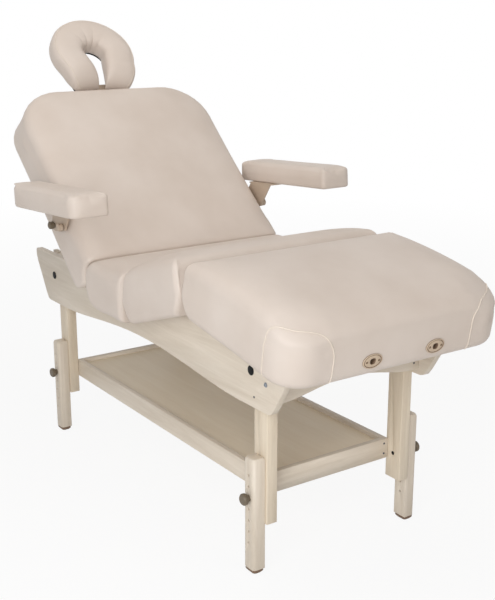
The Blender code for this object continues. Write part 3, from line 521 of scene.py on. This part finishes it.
def section_outline(low, high, half, r_low, r_high, counts, pull):
    """Outline of a section, its sides drawn in by pull."""
    points = outline((low, -half), (high, half), (r_low, r_high, r_high, r_low), counts)
    for point in points:
        if abs(point.y) > half / 2:
            share = clamped((point.x - low) / (high - low))
            point.y -= copysign(pull * sin(pi * share) ** 2, point.y)
    return points


def arc_in(height, low, high, reach):
    """Quarter ellipse: 0 at low and reach at high."""
    share = clamped((height - low) / (high - low))
    return reach * (1 - sqrt(1 - share * share))


def side_rows():
    """Height and inset up the side and over the edge of a pad."""
    rows = []
    for k in range(6):
        height = HEM + (HEM_TURN - HEM) * (1 - cos(k / 6 * QUARTER))
        rows.append((height, arc_in(-height, -HEM_TURN, -HEM, HEM_IN)))
    for k in range(6):
        rows.append((HEM_TURN + (FULL - HEM_TURN) * k / 6, 0.0))
    for k in range(11):
        angle = k / 10 * QUARTER * EDGE_SWEEP
        height = FULL + (EDGE - FULL) * sin(angle)
        rows.append((height, EDGE_IN * (1 - cos(angle))))
    return rows


def pad_counts(length):
    """Points along a side, across an end and round a corner; even, so that a pad closes evenly."""
    return (2 * max(int(length / STEP / 2), 4), 2 * int(HALF_WIDTH / STEP), CORNER_STEPS)


def pad_rings(low_end, high_end, corner_low, corner_high, length):
    """Rings of a section from the hem to the middle of the crown."""
    counts = pad_counts(length)
    rows = side_rows()
    top, inset = rows[-1]
    reach = inset + STEP
    while (HALF_WIDTH - reach >= LEAST_HALF
           and high_end(CROWN, reach) - low_end(CROWN, reach) >= LEAST_LENGTH):
        reach += STEP
    steps = int((reach - inset) / STEP)
    for k in range(1, steps + 1):
        share = k / steps
        height = top + (CROWN - top) * (1 - (1 - share) ** CROWN_POWER)
        rows.append((height, inset + (reach - STEP - inset) * share))
    rings = []
    for height, inward in rows:
        low = low_end(height, inward)
        high = high_end(height, inward)
        wide = HALF_WIDTH - inward
        room = min(wide, (high - low) / 2) * CORNER_ROOM
        rise = clamped((height - HEM) / CORNER_RISE)
        radii = [min(max(below + (above - below) * rise - inward, LEAST_R), room)
                 for below, above in (corner_low, corner_high)]
        pull = PULL_IN if inward < EDGE_IN else 0.0
        ring = section_outline(low, high, wide, *radii, counts, pull)
        rings.append([Vector((p.x, p.y, height)) for p in ring])
    return rings


def close_strip(shell, ring, counts, lengthwise):
    """Closes the last, narrow ring of a pad with faces from side to side."""
    along, across, turn = counts
    count = len(ring)
    if lengthwise:
        first = -across // 2
        total = count - across
    else:
        first = turn + along // 2
        total = 2 * turn + along
    for k in range(first, first + count // 2):
        corners = []
        for index in (k, k + 1, total - k - 1, total - k):
            vertex = ring[index % count]
            if vertex not in corners:
                corners.append(vertex)
        if len(corners) > 2:
            shell.faces.new(corners)


def loft(rings, matrix, closed_low=False, counts=None, lengthwise=True, looped=False):
    """Skin over rings that goes back to the first, or is closed at the last and, if asked, the first."""
    shell = bmesh.new()
    rows = [[shell.verts.new(matrix @ point) for point in ring] for ring in rings]
    count = len(rings[0])
    for low, high in zip(rows, rows[1:] + (rows[:1] if looped else [])):
        for k in range(count):
            shell.faces.new((low[k], low[(k + 1) % count], high[(k + 1) % count], high[k]))
    if counts:
        close_strip(shell, rows[-1], counts, lengthwise)
    elif not looped:
        shell.faces.new(rows[-1])
    if closed_low:
        shell.faces.new(list(reversed(rows[0])))
    return shell


def faced_out(shell):
    """Turns the faces of a closed skin outward."""
    bmesh.ops.recalc_face_normals(shell, faces=shell.faces)
    return shell


def past_edge(inward):
    """How far a ring lies in from the rounded edge."""
    return max(inward - EDGE_IN, 0.0)


def knee_slope(height):
    """How far the ends at the knee are cut back under the hinge line."""
    below = min(height, 0.0)
    return -below * tan(KNEE_CUT * RAD) + KNEE_FLARE * (below / HEM) ** 2


def seat_rear(height, inward):
    rise = min(max(height - BULLNOSE_Z, -BULLNOSE_R), BULLNOSE_R * 0.985)
    nose = BULLNOSE_R - sqrt(BULLNOSE_R ** 2 - rise ** 2)
    return SEAT_FROM + SWING + nose + past_edge(inward)


def seat_front(height, inward):
    hem = SEAT_HEM_IN * max(height / HEM, 0.0) ** 8
    return SEAT_TO - SWING - past_edge(inward) - arc_in(height, SEAT_LIP, EDGE, SEAT_LIP_IN) - hem


def back_end(height, inward):
    """Lower end of the back, hollowed round the rear end of the seat."""
    centre = Vector((SWING + BULLNOSE_R, BULLNOSE_Z))
    start = atan2(centre.y, centre.x)
    radius = BULLNOSE_R + SWING / 2
    reach = SWING
    for k in range(BACK_SWEEP + 1):
        angle = start + k * RAD
        at = Vector((cos(angle), sin(angle))) * centre.length
        rise = height - at.y
        if abs(rise) < radius:
            reach = max(reach, sqrt(radius ** 2 - rise ** 2) - at.x)
    if height < 0:
        reach += BACK_HEM_IN * (height / HEM) ** 1.5
    return -reach - past_edge(inward) - arc_in(height, BACK_LIP, EDGE, BACK_LIP_IN)


def back_head(height, inward):
    return -BACK_LENGTH + inward


def thigh_rear(height, inward):
    if height < 0:
        return SWING + HEM_IN * height / HEM
    return SWING + height * tan(THIGH_LEAN * RAD) + inward * 0.6


def thigh_front(height, inward):
    return THIGH_LENGTH - SWING - knee_slope(height) - (inward if height > 0 else 0.0)


def leg_rear(height, inward):
    return SWING + knee_slope(height) + (inward if height > 0 else 0.0)


def leg_foot(height, inward):
    return LEG_LENGTH - inward * (FOOT_ROLL if height > 0 else 1.0)


def hold(item, weights):
    """Pins a soft mesh by a weight for each vertex."""
    group = item.vertex_groups.new(name="held")
    for index, weight in enumerate(weights):
        if weight > 0:
            group.add([index], weight, "REPLACE")


def add_cloth(item):
    """Makes an object a stretchy skin with air inside."""
    cloth = change(item, "CLOTH")
    for key, value in SKIN.items():
        setattr(cloth.settings, key, value)
    cloth.settings.effector_weights.gravity = 0.0
    cloth.collision_settings.use_collision = False


def puff(items):
    """Lets the soft pieces fill, all together, and limits how far a point may go."""
    starts = {item: [vertex.co.copy() for vertex in item.data.vertices] for item in items}
    for item in items:
        add_cloth(item)
    scene = bpy.context.scene
    for number in range(1, FILL_FRAMES + 1):
        scene.frame_set(number)
    depsgraph = bpy.context.evaluated_depsgraph_get()
    for item in items:
        mesh = bpy.data.meshes.new_from_object(item.evaluated_get(depsgraph))
        item.modifiers.clear()
        for vertex, start, moved in zip(item.data.vertices, starts[item], mesh.vertices):
            shift = moved.co - start
            if shift.length > FILL_CAP:
                shift *= FILL_CAP / shift.length
            vertex.co = start + shift
        bpy.data.meshes.remove(mesh)
    scene.frame_set(1)


def relax(item, matrix, rounds=30):
    """Evens out the top of a section, and closes its open hem with one face."""
    shell = bmesh.new()
    shell.from_mesh(item.data)
    back = matrix.inverted()
    top = [vertex for vertex in shell.verts if (back @ vertex.co).z > EDGE - 0.006]
    for _ in range(rounds):
        bmesh.ops.smooth_vert(shell, verts=top, factor=0.5,
                              use_axis_x=True, use_axis_y=True, use_axis_z=True)
    bmesh.ops.contextual_create(shell, geom=[edge for edge in shell.edges if edge.is_boundary])
    shell.to_mesh(item.data)
    shell.free()


def even_fill(item, starts, rounds=16):
    """Evens out how far the points of a skin moved as it filled, so that no crumples are left."""
    shifts = [vertex.co - start for vertex, start in zip(item.data.vertices, starts)]
    for _ in range(rounds):
        sums = [shift.copy() for shift in shifts]
        counts = [1] * len(sums)
        for edge in item.data.edges:
            first, second = edge.vertices
            sums[first] += shifts[second]
            sums[second] += shifts[first]
            counts[first] += 1
            counts[second] += 1
        shifts = [total / count for total, count in zip(sums, counts)]
    for vertex, start, shift in zip(item.data.vertices, starts, shifts):
        vertex.co = start + shift


def dome(item, matrix, high_end, lift, drop):
    """Arches a pad's top along its length, and lowers its corners at the high end."""
    back = matrix.inverted()
    for vertex in item.data.vertices:
        place = back @ vertex.co
        if place.z > 0:
            rise = min(place.z / EDGE, 1.0) ** 1.5
            share = clamped(place.x / high_end)
            along = max(place.x - high_end + CORNER_ZONE, 0.0) / CORNER_ZONE
            across = max(abs(place.y) - HALF_WIDTH + CORNER_ZONE, 0.0) / CORNER_ZONE
            corner = min(along, across) * max(along, across)
            place.z += rise * (lift * sin(pi * share) - drop * corner)
            vertex.co = matrix @ place


def cut(item, shell):
    """Takes a closed form out of an object."""
    tool = plain_object("cut", shell)
    change(item, "BOOLEAN", operation="DIFFERENCE", solver="EXACT", object=tool)
    baked(item)
    bpy.data.objects.remove(tool)


def box_shell(low, high, matrix):
    """A closed box between two corners."""
    shell = bmesh.new()
    bmesh.ops.create_cube(shell, size=1.0)
    for vertex in shell.verts:
        place = [start + (end - start) * (share + 0.5)
                 for start, end, share in zip(low, high, vertex.co)]
        vertex.co = matrix @ Vector(place)
    return shell


def rod_shell(start, end, radius, matrix):
    """A closed rod between two points."""
    shell = bmesh.new()
    axis = (end - start).normalized()
    turn = axis.to_track_quat("Z", "Y").to_matrix().to_4x4()
    whole = matrix @ Matrix.Translation((start + end) / 2) @ turn
    bmesh.ops.create_cone(shell, cap_ends=True, segments=24, radius1=radius, radius2=radius,
                          depth=(end - start).length, matrix=whole)
    return shell


# Each section: its frame, body, low end, high end, corners at both and length
SECTIONS = {
    "seat_cushion": (LEVEL_AT, "frame", seat_rear, seat_front, HINGE_R, HINGE_R, SEAT_TO - SEAT_FROM),
    "back_cushion": (BACK_AT, "back", back_head, back_end, HEAD_R, HINGE_R, BACK_LENGTH),
    "thigh_cushion": (THIGH_AT, "thigh", thigh_rear, thigh_front, HINGE_R, HINGE_R, THIGH_LENGTH),
    "leg_cushion": (LEG_AT, "leg", leg_rear, leg_foot, HINGE_R, FOOT_R, LEG_LENGTH),
}

# From where to where each section is hollow for its deck
HOLLOWS = {
    "seat_cushion": (SEAT_FROM - 0.2, SEAT_TO + 0.2),
    "back_cushion": (-BACK_LENGTH + END_WALL, 0.2),
    "thigh_cushion": (-0.2, THIGH_LENGTH + 0.2),
    "leg_cushion": (-0.2, LEG_LENGTH - END_WALL),
}

# From where to where the socket holes go through the wall at an end
END_HOLES = {
    "back_cushion": (-BACK_LENGTH - 0.05, -BACK_LENGTH + END_WALL + 0.02),
    "leg_cushion": (LEG_LENGTH - END_WALL - 0.02, LEG_LENGTH + 0.05),
}

# Where the pads at the back hinge start to be held, so that they keep clear of each other
HINGE_ENDS = {"seat_cushion": (SEAT_FROM + 0.08, 1.0), "back_cushion": (-1.0, -0.13)}

# Length, arch of the top and fall of the far corners of the raised knee's pads
DOMES = {"thigh_cushion": (THIGH_LENGTH, 0.012, 0.0), "leg_cushion": (LEG_LENGTH, 0.020, 0.044)}
CORNER_ZONE = 0.15  # how far such a corner reaches


def section_pads():
    """The four sections before they fill, with their pins."""
    pads = {}
    for name, (matrix, _, low_end, high_end, r_low, r_high, length) in SECTIONS.items():
        rings = pad_rings(low_end, high_end, r_low, r_high, length)
        long, wide = [max(p[axis] for p in rings[-1]) - min(p[axis] for p in rings[-1])
                      for axis in (0, 1)]
        item = plain_object("soft_" + name, loft(rings, matrix, False, pad_counts(length), long > wide))
        back = matrix.inverted()
        weights = []
        low, high = HINGE_ENDS.get(name, (-1.0, 1.0))
        for vertex in item.data.vertices:
            place = back @ vertex.co
            under = clamped((HELD_FROM - place.z) / HELD_FADE)
            near = clamped(max(low - place.x, place.x - high) / HINGE_FADE)
            weights.append(max(under, near))
        hold(item, weights)
        pads[name] = item
    return pads


def bow_point(degrees):
    """A point of the bow of the face ring's middle line."""
    angle = degrees * RAD
    return Vector((-FACE_HALF_S * sin(angle), FACE_HALF_Y * cos(angle), 0.0))


def ring_line():
    """Middle line of the face ring with its outward directions, from one tail to the other."""
    start = RING_OPEN - 90
    points = line(bow_point(start) + Vector((TAIL_L, -TAIL_IN, 0.0)), bow_point(start), TAIL_STEPS)
    points += [bow_point(start + (180 - RING_OPEN) * k / BOW_STEPS) for k in range(BOW_STEPS + 1)]
    points += [Vector((p.x, -p.y, 0.0)) for p in reversed(points[:-1])]
    for _ in range(30):
        eased = [(a + b * 2 + c) / 4 for a, b, c in zip(points, points[1:], points[2:])]
        points = points[:1] + eased + points[-1:]
    rows = []
    for k, at in enumerate(points):
        run = points[min(k + 1, len(points) - 1)] - points[max(k - 1, 0)]
        rows.append((at - Vector((FACE_REACH, 0.0, 0.0)), Vector((run.y, -run.x, 0.0)).normalized()))
    return rows


def slot_half(at):
    """Half width of the slot between the tails, beside a point of the ring's middle line."""
    tip = FACE_REACH - bow_point(RING_OPEN - 90).x - TAIL_L
    share = clamped((-at.x - tip) / (FACE_REACH - tip))
    return SLOT_TIP + (FACE_HALF_Y - RING_HALF + RING_SKIN + HOLE_ROOM - SLOT_TIP) * share


def ring_point(at, out, size, turn, pleat):
    """A point of the face ring's skin; turn 0 is outward and a quarter turn is the front."""
    outward = cos(turn)
    forward = sin(turn)
    wide = RING_HALF - RING_SKIN
    if outward > 0:
        wide *= 1 - TAIL_SLIM + TAIL_SLIM * size
    else:
        wide -= HOLE_ROOM
        if -at.x < FACE_REACH:
            wide = min(wide, abs(at.y) - slot_half(at))
    power = RING_TOP_POWER if forward > 0 else RING_LOW_POWER
    side = copysign(abs(outward) ** power, outward) * wide
    rise = copysign(abs(forward) ** power, forward) * (RING_H / 2 - 0.001) * size
    inner = max(-outward * 0.8 + forward * 0.45, 0.0)
    side += pleat * inner
    rise -= pleat * inner * 0.6
    return at + out * side + Vector((0.0, 0.0, FACE_LOW + RING_H / 2 * size + rise))


def face_ring():
    """The face ring: a fat roll, open towards the back, pleated inside its far end."""
    line_rows = ring_line()
    last = len(line_rows) - 1
    turns = [2 * pi * (i + 0.5) / RING_AROUND for i in range(RING_AROUND)]
    rings = []
    for k, (at, out) in enumerate(line_rows):
        near = min(min(k, last - k) / TIP_STEPS, 1.0)
        size = max(sqrt(1 - (1 - near) ** 2), TIP_SIZE)
        middle = (k - last / 2) / (last * PLEAT_REACH)
        gather = max(1 - middle * middle, 0.0)
        pleat = PLEAT_DEPTH * gather * (1 - abs(cos(middle * PLEAT_TURNS)) ** 0.5)
        rings.append([ring_point(at, out, size, turn, pleat) for turn in turns])
    return plain_object("soft_face_cushion", faced_out(loft(rings, FACE_AT, True)))


def arm_outline(sign, inset):
    """Outline of an arm pad; its large corners are on the side away from the table."""
    near, far = sorted((sign * PAD_IN, sign * (PAD_IN + PAD_W)))
    low = (PAD_REAR + inset, near + inset)
    high = (PAD_FRONT - inset, far - inset)
    rear, front, inner = [max(r - inset, 0.004) for r in (PAD_REAR_R, PAD_FRONT_R, PAD_INNER_R)]
    most = (high[1] - low[1]) * (0.48 if inner < 0.006 else 0.88)
    radii = (rear, front, inner, inner) if sign < 0 else (inner, inner, front, rear)
    return outline(low, high, [min(r, most) for r in radii], PAD_COUNTS)


def arm_pad(sign, matrix):
    """An armrest pad: flat top with a soft edge, in rows of a share of the height and an inset."""
    rows = [(0.0, 0.006), (0.03, 0.002), (0.10, 0.0), (0.25, 0.0), (0.42, 0.0), (0.60, 0.0)]
    for k in range(8):
        angle = k / 7 * QUARTER
        rows.append((0.81 + 0.165 * sin(angle), PAD_EDGE * (1 - cos(angle))))
    rows += [(0.983, 0.022), (0.989, 0.034), (0.993, 0.046), (0.995, 0.056)]
    rings = []
    for share, inset in rows:
        height = PAD_LOW + PAD_H * share
        rings.append([Vector((p.x, p.y, height)) for p in arm_outline(sign, inset)])
    return loft(rings, matrix, True, PAD_COUNTS)


def hold_below(item, matrix, height, rest):
    """Pins a soft mesh below a height, and holds the rest of it by a lesser weight."""
    back = matrix.inverted()
    hold(item, [1.0 if (back @ vertex.co).z < height else rest for vertex in item.data.vertices])


def soft_pieces():
    """All the soft pieces, filled."""
    pads = section_pads()
    for side, sign in SIDES:
        matrix = placed(joint_at(f"armrest_tilt_{side}"), ARM_SLOPE)
        item = plain_object(f"soft_armrest_pad_{side}", arm_pad(sign, matrix))
        hold_below(item, matrix, PAD_LOW + PAD_H * 0.3, 0.0)
        pads[f"armrest_pad_{side}"] = item
    ring = face_ring()
    hold_below(ring, FACE_AT, FACE_LOW + 0.004, 0.15)
    pads["face_cushion"] = ring
    ring_starts = [vertex.co.copy() for vertex in ring.data.vertices]
    puff(list(pads.values()))
    even_fill(ring, ring_starts)
    for item in pads.values():
        item.vertex_groups.clear()
    return pads


def hollow(item, name):
    """Makes room under a section for its deck, and holes in its end wall for the sockets."""
    matrix = SECTIONS[name][0]
    low, high = HOLLOWS[name]
    cut(item, box_shell((low, -DECK_HALF, HEM - 0.1), (high, DECK_HALF, DECK_TOP), matrix))
    if name in END_HOLES:
        for _, sign in SIDES:
            start, end = [Vector((x, sign * SOCKET_Y, SOCKET_Z)) for x in END_HOLES[name]]
            cut(item, rod_shell(start, end, WALL_HOLE, matrix))


def carrier(name):
    """Body that a soft piece rides on."""
    if name in SECTIONS:
        return SECTIONS[name][1]
    return "face_head" if name == "face_cushion" else name.replace("_pad", "")


def build_pads():
    """All the soft pieces, filled, hollowed and dressed."""
    pads = soft_pieces()
    for name, item in pads.items():
        if name in SECTIONS:
            matrix = SECTIONS[name][0]
            relax(item, matrix)
            if name in DOMES:
                dome(item, matrix, *DOMES[name])
            hollow(item, name)
        body = carrier(name)
        item.data.materials.clear()
        item.data.materials.append(FINISH["vinyl"])
        for face in item.data.polygons:
            face.material_index = 0
        smooth(item)
        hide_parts(name)
        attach(item, body)
    return pads


def search_tree(mesh):
    """Search tree of a mesh's faces."""
    points = [vertex.co for vertex in mesh.vertices]
    return BVHTree.FromPolygons(points, [face.vertices for face in mesh.polygons])


def on_face(name, start, towards):
    """Where a line from beside mid length first meets a solid, and which way is out there."""
    tree = search_tree(frame["nodes"][name].data)
    spot, normal, _, _ = tree.ray_cast(Vector(start) + Vector((MID, 0.0, 0.0)), Vector(towards))
    if spot is None:
        raise ValueError(f"nothing of {name} at {start}")
    return spot, normal


def turned(name, profile, count, waves=None):
    """A closed form turned about Z from radius and height pairs; waves bend the radius of a row."""
    rings = []
    for k, (radius, height) in enumerate(profile):
        ring = []
        for i in range(count):
            angle = 2 * pi * i / count
            reach = radius * (waves[k](angle) if waves and k in waves else 1.0)
            ring.append(Vector((reach * cos(angle), reach * sin(angle), height)))
        rings.append(ring)
    return plain_object(name, loft(rings, Matrix(), True))


def hexagon(angle):
    """Radius of a hexagon, as a share of that at its corners."""
    return cos(30 * RAD) / cos((angle % (60 * RAD)) - 30 * RAD)


def cross(angle):
    """Radius of a soft cross, as a share of its mean."""
    return 1.0 + 0.55 * cos(4 * angle)


def geometry_tree(name, **inputs):
    """A new tree with its inputs as fields: a geometry, the given ones and a finish."""
    tree = bpy.data.node_groups.new(name, "GeometryNodeTree")
    tree.interface.new_socket("Geometry", in_out="OUTPUT", socket_type="NodeSocketGeometry")
    for label, kind in {"Geometry": "Geometry", **inputs, "Finish": "Material"}.items():
        tree.interface.new_socket(label, in_out="INPUT", socket_type="NodeSocket" + kind)
    source = tree.nodes.new("NodeGroupInput")
    return tree, {socket.name: Field(tree, socket) for socket in source.outputs if socket.name}


def end_tree(shape, finish):
    """Closes a tree: plain mesh in one finish."""
    whole = shape.node("GeometryNodeRealizeInstances", {"Geometry": shape})
    dressed = shape.node("GeometryNodeSetMaterial", {"Geometry": whole, "Material": finish})
    result = shape.tree.nodes.new("NodeGroupOutput")
    shape.tree.links.new(dressed.socket, result.inputs[0])


def fastener_tree():
    """Sets one form on every point, its axis along the point's facing."""
    tree, given = geometry_tree("fasteners", Form="Object")
    start = Field(tree)
    form = start.node("GeometryNodeObjectInfo", {"Object": given["Form"]}, "Geometry",
                      transform_space="ORIGINAL")
    facing = start.node("GeometryNodeInputNamedAttribute", {"Name": "facing"},
                        data_type="FLOAT_VECTOR")
    turn = start.node("FunctionNodeAlignRotationToVector", {"Vector": facing}, axis="Z")
    copies = start.node("GeometryNodeInstanceOnPoints",
                        {"Points": given["Geometry"], "Instance": form, "Rotation": turn})
    end_tree(copies, given["Finish"])
    return tree


def piping_tree():
    """A round cord along every line of edges."""
    tree, given = geometry_tree("piping", Radius="Float")
    start = Field(tree)
    path = start.node("GeometryNodeMeshToCurve", {"Mesh": given["Geometry"]})
    circle = start.node("GeometryNodeCurvePrimitiveCircle",
                        {"Resolution": 10, "Radius": given["Radius"]})
    cord = start.node("GeometryNodeCurveToMesh",
                      {"Curve": path, "Profile Curve": circle, "Fill Caps": True})
    end_tree(cord, given["Finish"])
    return tree


def run_tree(item, tree, values):
    """Runs a tree on an object and keeps the plain result."""
    shape = change(item, "NODES", node_group=tree)
    for socket in tree.interface.items_tree:
        if socket.in_out == "INPUT" and socket.name in values:
            shape[socket.identifier] = values[socket.name]
    baked(item)


def wire_object(name, points, edges):
    """An object of bare points and edges."""
    mesh = bpy.data.meshes.new(name)
    mesh.from_pydata(points, edges, [])
    return linked(name, mesh)


def fasteners(name, form, spots, finish, body):
    """A set of equal fasteners on one body."""
    item = wire_object(name, [spot for spot, _ in spots], [])
    facing = item.data.attributes.new("facing", "FLOAT_VECTOR", "POINT")
    for k, (_, way) in enumerate(spots):
        facing.data[k].vector = way
    run_tree(item, FASTENER_TREE, {"Form": form, "Finish": FINISH[finish]})
    smooth(item, 35)
    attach(item, body)


def piping(name, lines, body, radius):
    """Welt cords that follow the given lines."""
    points = []
    edges = []
    for row in lines:
        edges += [(len(points) + k, len(points) + k + 1) for k in range(len(row) - 1)]
        points += row
    item = wire_object(name, points, edges)
    run_tree(item, PIPING_TREE, {"Radius": radius, "Finish": FINISH["welt"]})
    smooth(item, 60)
    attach(item, body)


def frame_spots():
    """Places of the frame's bolts, screws and inserts, each with the way it faces."""
    bolts = []
    screws = []
    inserts = []
    for side, sign in SIDES:
        for end, way in ENDS:
            if end == "foot":
                rail = f"side_rail_{side}"
                for spots, (along, up) in ((bolts, RAIL_BOLT), (screws, RAIL_SCREW)):
                    spots.append(on_face(rail, (way * along, sign, up), (0.0, -sign, 0.0)))
            for name, places in ((f"{end}_apron", APRON_SCREWS), ("shelf_frame", SHELF_SCREWS)):
                for across, up in places:
                    screws.append(on_face(name, (way * CLEAR, sign * across, up), (-way, 0.0, 0.0)))
            stud = joint_at(f"leg_knob_turn_{end}_{side}")
            start = (stud.x - MID + STUD_SIDE, 0.0, stud.z)
            spot, facing = on_face(f"leg_post_{end}_{side}", start, (0.0, sign, 0.0))
            inserts.append((Vector((stud.x, spot.y, stud.z)), facing))
    return bolts, screws, inserts


def build_fasteners():
    """Bolts and screws of the frame and of the socket plates."""
    bolt = turned("bolt", BOLT, 24, {6: hexagon, 7: hexagon})
    screw = turned("screw", SCREW, 24, {4: cross, 5: cross})
    insert = turned("insert", INSERT, 20)
    bolts, screws, inserts = frame_spots()
    fasteners("frame_bolts", bolt, bolts, "bright", "frame")
    fasteners("frame_screws", screw, screws, "dark_steel", "frame")
    fasteners("post_inserts", insert, inserts, "black", "frame")
    way = LEG_AT.to_3x3() @ Vector((1.0, 0.0, 0.0))
    spots = []
    for _, sign in SIDES:
        for off in (-PLATE_SCREW_Y, PLATE_SCREW_Y):
            spot = Vector((LEG_LENGTH + PLATE_SCREW_OUT, sign * SOCKET_Y + off, SOCKET_Z))
            spots.append((LEG_AT @ spot, way))
    fasteners("plate_screws", screw, spots, "brown_screw", "leg")
    for form in (bolt, screw, insert):
        bpy.data.objects.remove(form)


def foot_oval(out, side, half_y, half_z, count):
    """Upright oval round a socket of the foot end."""
    angles = [2 * pi * i / count for i in range(count)]
    return [Vector((LEG_LENGTH + out, side + half_y * cos(a), SOCKET_Z + half_z * sin(a)))
            for a in angles]


def socket_plates():
    """Oval plates round the sockets of the foot end, with a dark liner behind each."""
    for side, sign in SIDES:
        middle = sign * SOCKET_Y
        rings = [foot_oval(out, middle, wide * size, tall * size, PLATE_COUNT)
                 for (wide, tall), rows in ((PLATE_HALF, PLATE_FACE), (HOLE_HALF, PLATE_HOLE))
                 for size, out in rows]
        shell = faced_out(loft(rings, LEG_AT, looped=True))
        item = plain_object(f"socket_plate_{side}", shell, FINISH["tan"])
        item.data.materials.append(FINISH["brown"])
        for face in item.data.polygons:
            # brown rows at the rim's foot and in the groove are painted shade lines; the hole's rows are
            # brown too
            face.material_index = 1 if face.index // PLATE_COUNT in PLATE_SHADE_AND_HOLE else 0
        smooth(item, 60)
        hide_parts(f"foot_grommet_{side}")
        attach(item, "leg")
        rings = [foot_oval(out, middle, radius, radius, CUP_COUNT) for radius, out in CUP]
        shell = faced_out(loft(rings, LEG_AT, True))
        item = plain_object(f"socket_liner_{side}", shell, FINISH["brown"])
        smooth(item, 40)
        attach(item, "leg")


def patch_path():
    """Seam of a corner patch: way round the corner and way up the side, from hem to hem."""
    whole = PATCH_SIDE + PATCH_TURN + PATCH_END
    low = HEM + 0.006
    path = [(0.0, low + (PATCH_SIDE_UP - low) * k / 12) for k in range(12)]
    for k in range(49):
        angle = pi * k / 48
        start = PATCH_SIDE_UP if k < 24 else PATCH_END_UP
        rise = start + (PATCH_TOP - start) * sin(angle) ** 0.8
        path.append((whole / 2 * (1 - cos(angle)), rise))
    path += [(whole, PATCH_END_UP + (low - PATCH_END_UP) * k / 12) for k in range(1, 13)]
    return path


def corner_seam(skin_tree, sign):
    """Line of the piping round one foot corner patch, on the cushion."""
    radius = FOOT_R[0]
    middle = Vector((LEG_LENGTH - radius, sign * (HALF_WIDTH - radius), 0.0))
    points = []
    for q, way in patch_path():
        angle = min(max((q - PATCH_SIDE) / radius, 0.0), QUARTER)
        out = Vector((sin(angle), sign * cos(angle), 0.0))
        bend = max(way - FULL, 0.0) / (EDGE - FULL) * QUARTER
        at = middle + out * (radius - EDGE_IN * (1 - cos(bend)))
        at.x += min(q - PATCH_SIDE, 0.0)
        at.y -= sign * max(q - PATCH_SIDE - PATCH_TURN, 0.0)
        at.z = min(way, FULL) + (EDGE - FULL) * sin(bend)
        facing = out * cos(bend) + Vector((0.0, 0.0, sin(bend)))
        start = LEG_AT @ (at + facing * 0.06)
        spot, normal, _, _ = skin_tree.ray_cast(start, LEG_AT.to_3x3() @ -facing)
        if spot is not None:
            points.append(spot + normal * PIPING_R * 0.25)
    return points


def build_seams():
    """Piping of the two foot corners and the boxing seam of the face ring."""
    tree = search_tree(PADS["leg_cushion"].data)
    piping("foot_corner_piping", [corner_seam(tree, sign) for _, sign in SIDES], "leg", PIPING_R)
    along = list(PADS["face_cushion"].data.vertices)[RING_SEAM::RING_AROUND]
    seam = [vertex.co + vertex.normal * 0.0002 for vertex in along]
    piping("face_ring_seam", [seam], "face_head", RING_CORD_R)


def show_white(tree, plain, white, share, output):
    """Shows white to the camera and in reflections, and the plain shader to the light."""
    path = tree.nodes.new("ShaderNodeLightPath")
    camera, glossy, through = [Field(tree, path.outputs[f"Is {kind} Ray"])
                               for kind in ("Camera", "Glossy", "Transmission")]
    seen = camera + glossy + through
    mix = seen.node("ShaderNodeMixShader", {0: seen * share, 1: plain, 2: white})
    tree.links.new(mix.socket, tree.nodes[output].inputs["Surface"])


def build_floor():
    """Pale floor that fades into white."""
    shell = bmesh.new()
    bmesh.ops.create_grid(shell, x_segments=1, y_segments=1, size=FLOOR_HALF)
    floor, shader, place = surface("pale floor", Roughness=0.9, Specular_IOR_Level=0.0)
    feed(shader, Base_Color=place.noise(0.6, 2.0).tint((0.86, 0.86, 0.86), (0.88, 0.88, 0.88)))
    tree = floor.node_tree
    glow = Field(tree).node("ShaderNodeEmission", {"Color": WHITE, "Strength": 1.0})
    away = place.node("ShaderNodeVectorMath", {0: place}, "Value", operation="LENGTH")
    share = FLOOR_WHITE + away.between(*FLOOR_FADE) * (1 - FLOOR_WHITE)
    show_white(tree, Field(tree, shader.outputs[0]), glow, share, "Material Output")
    ground = plain_object("floor", shell, floor)


def build_room():
    """White surroundings and soft lamps."""
    world = bpy.data.worlds.new("white room")
    bpy.context.scene.world = world
    world.use_nodes = True
    tree = world.node_tree
    room = Field(tree).node("ShaderNodeBackground", {"Color": WHITE, "Strength": ROOM_LIGHT})
    white = Field(tree).node("ShaderNodeBackground", {"Color": WHITE, "Strength": 1.0})
    show_white(tree, room, white, 1.0, "World Output")
    for name, (at, power, colour) in LAMPS.items():
        light = bpy.data.lights.new(name, "AREA")
        light.shape = "SQUARE"
        light.size = LAMP_SIZE
        light.energy = power
        light.color = colour
        item = linked(name, light)
        item.location = at
        item.rotation_euler = (Vector(LAMP_AIM) - Vector(at)).to_track_quat("-Z", "Y").to_euler()
        item.visible_camera = False


def build_camera():
    """The photograph's camera."""
    lens = bpy.data.cameras.new("camera")
    lens.sensor_fit = "HORIZONTAL"
    lens.sensor_width = SENSOR
    lens.lens = SENSOR * FOCAL / PHOTO_W
    lens.clip_end = 200.0
    camera = linked("camera", lens)
    camera.location = Vector(CAMERA_AT) + Vector((MID, 0.0, 0.0))
    camera.rotation_euler = ((90 - CAMERA_DIP) * RAD, 0.0, CAMERA_TURN * RAD)
    scene = bpy.context.scene
    scene.camera = camera
    scene.view_settings.view_transform = "Standard"


FASTENER_TREE = fastener_tree()
PIPING_TREE = piping_tree()
finish_solids()
PADS = build_pads()
socket_plates()
build_fasteners()
build_seams()
build_floor()
build_room()
build_camera()
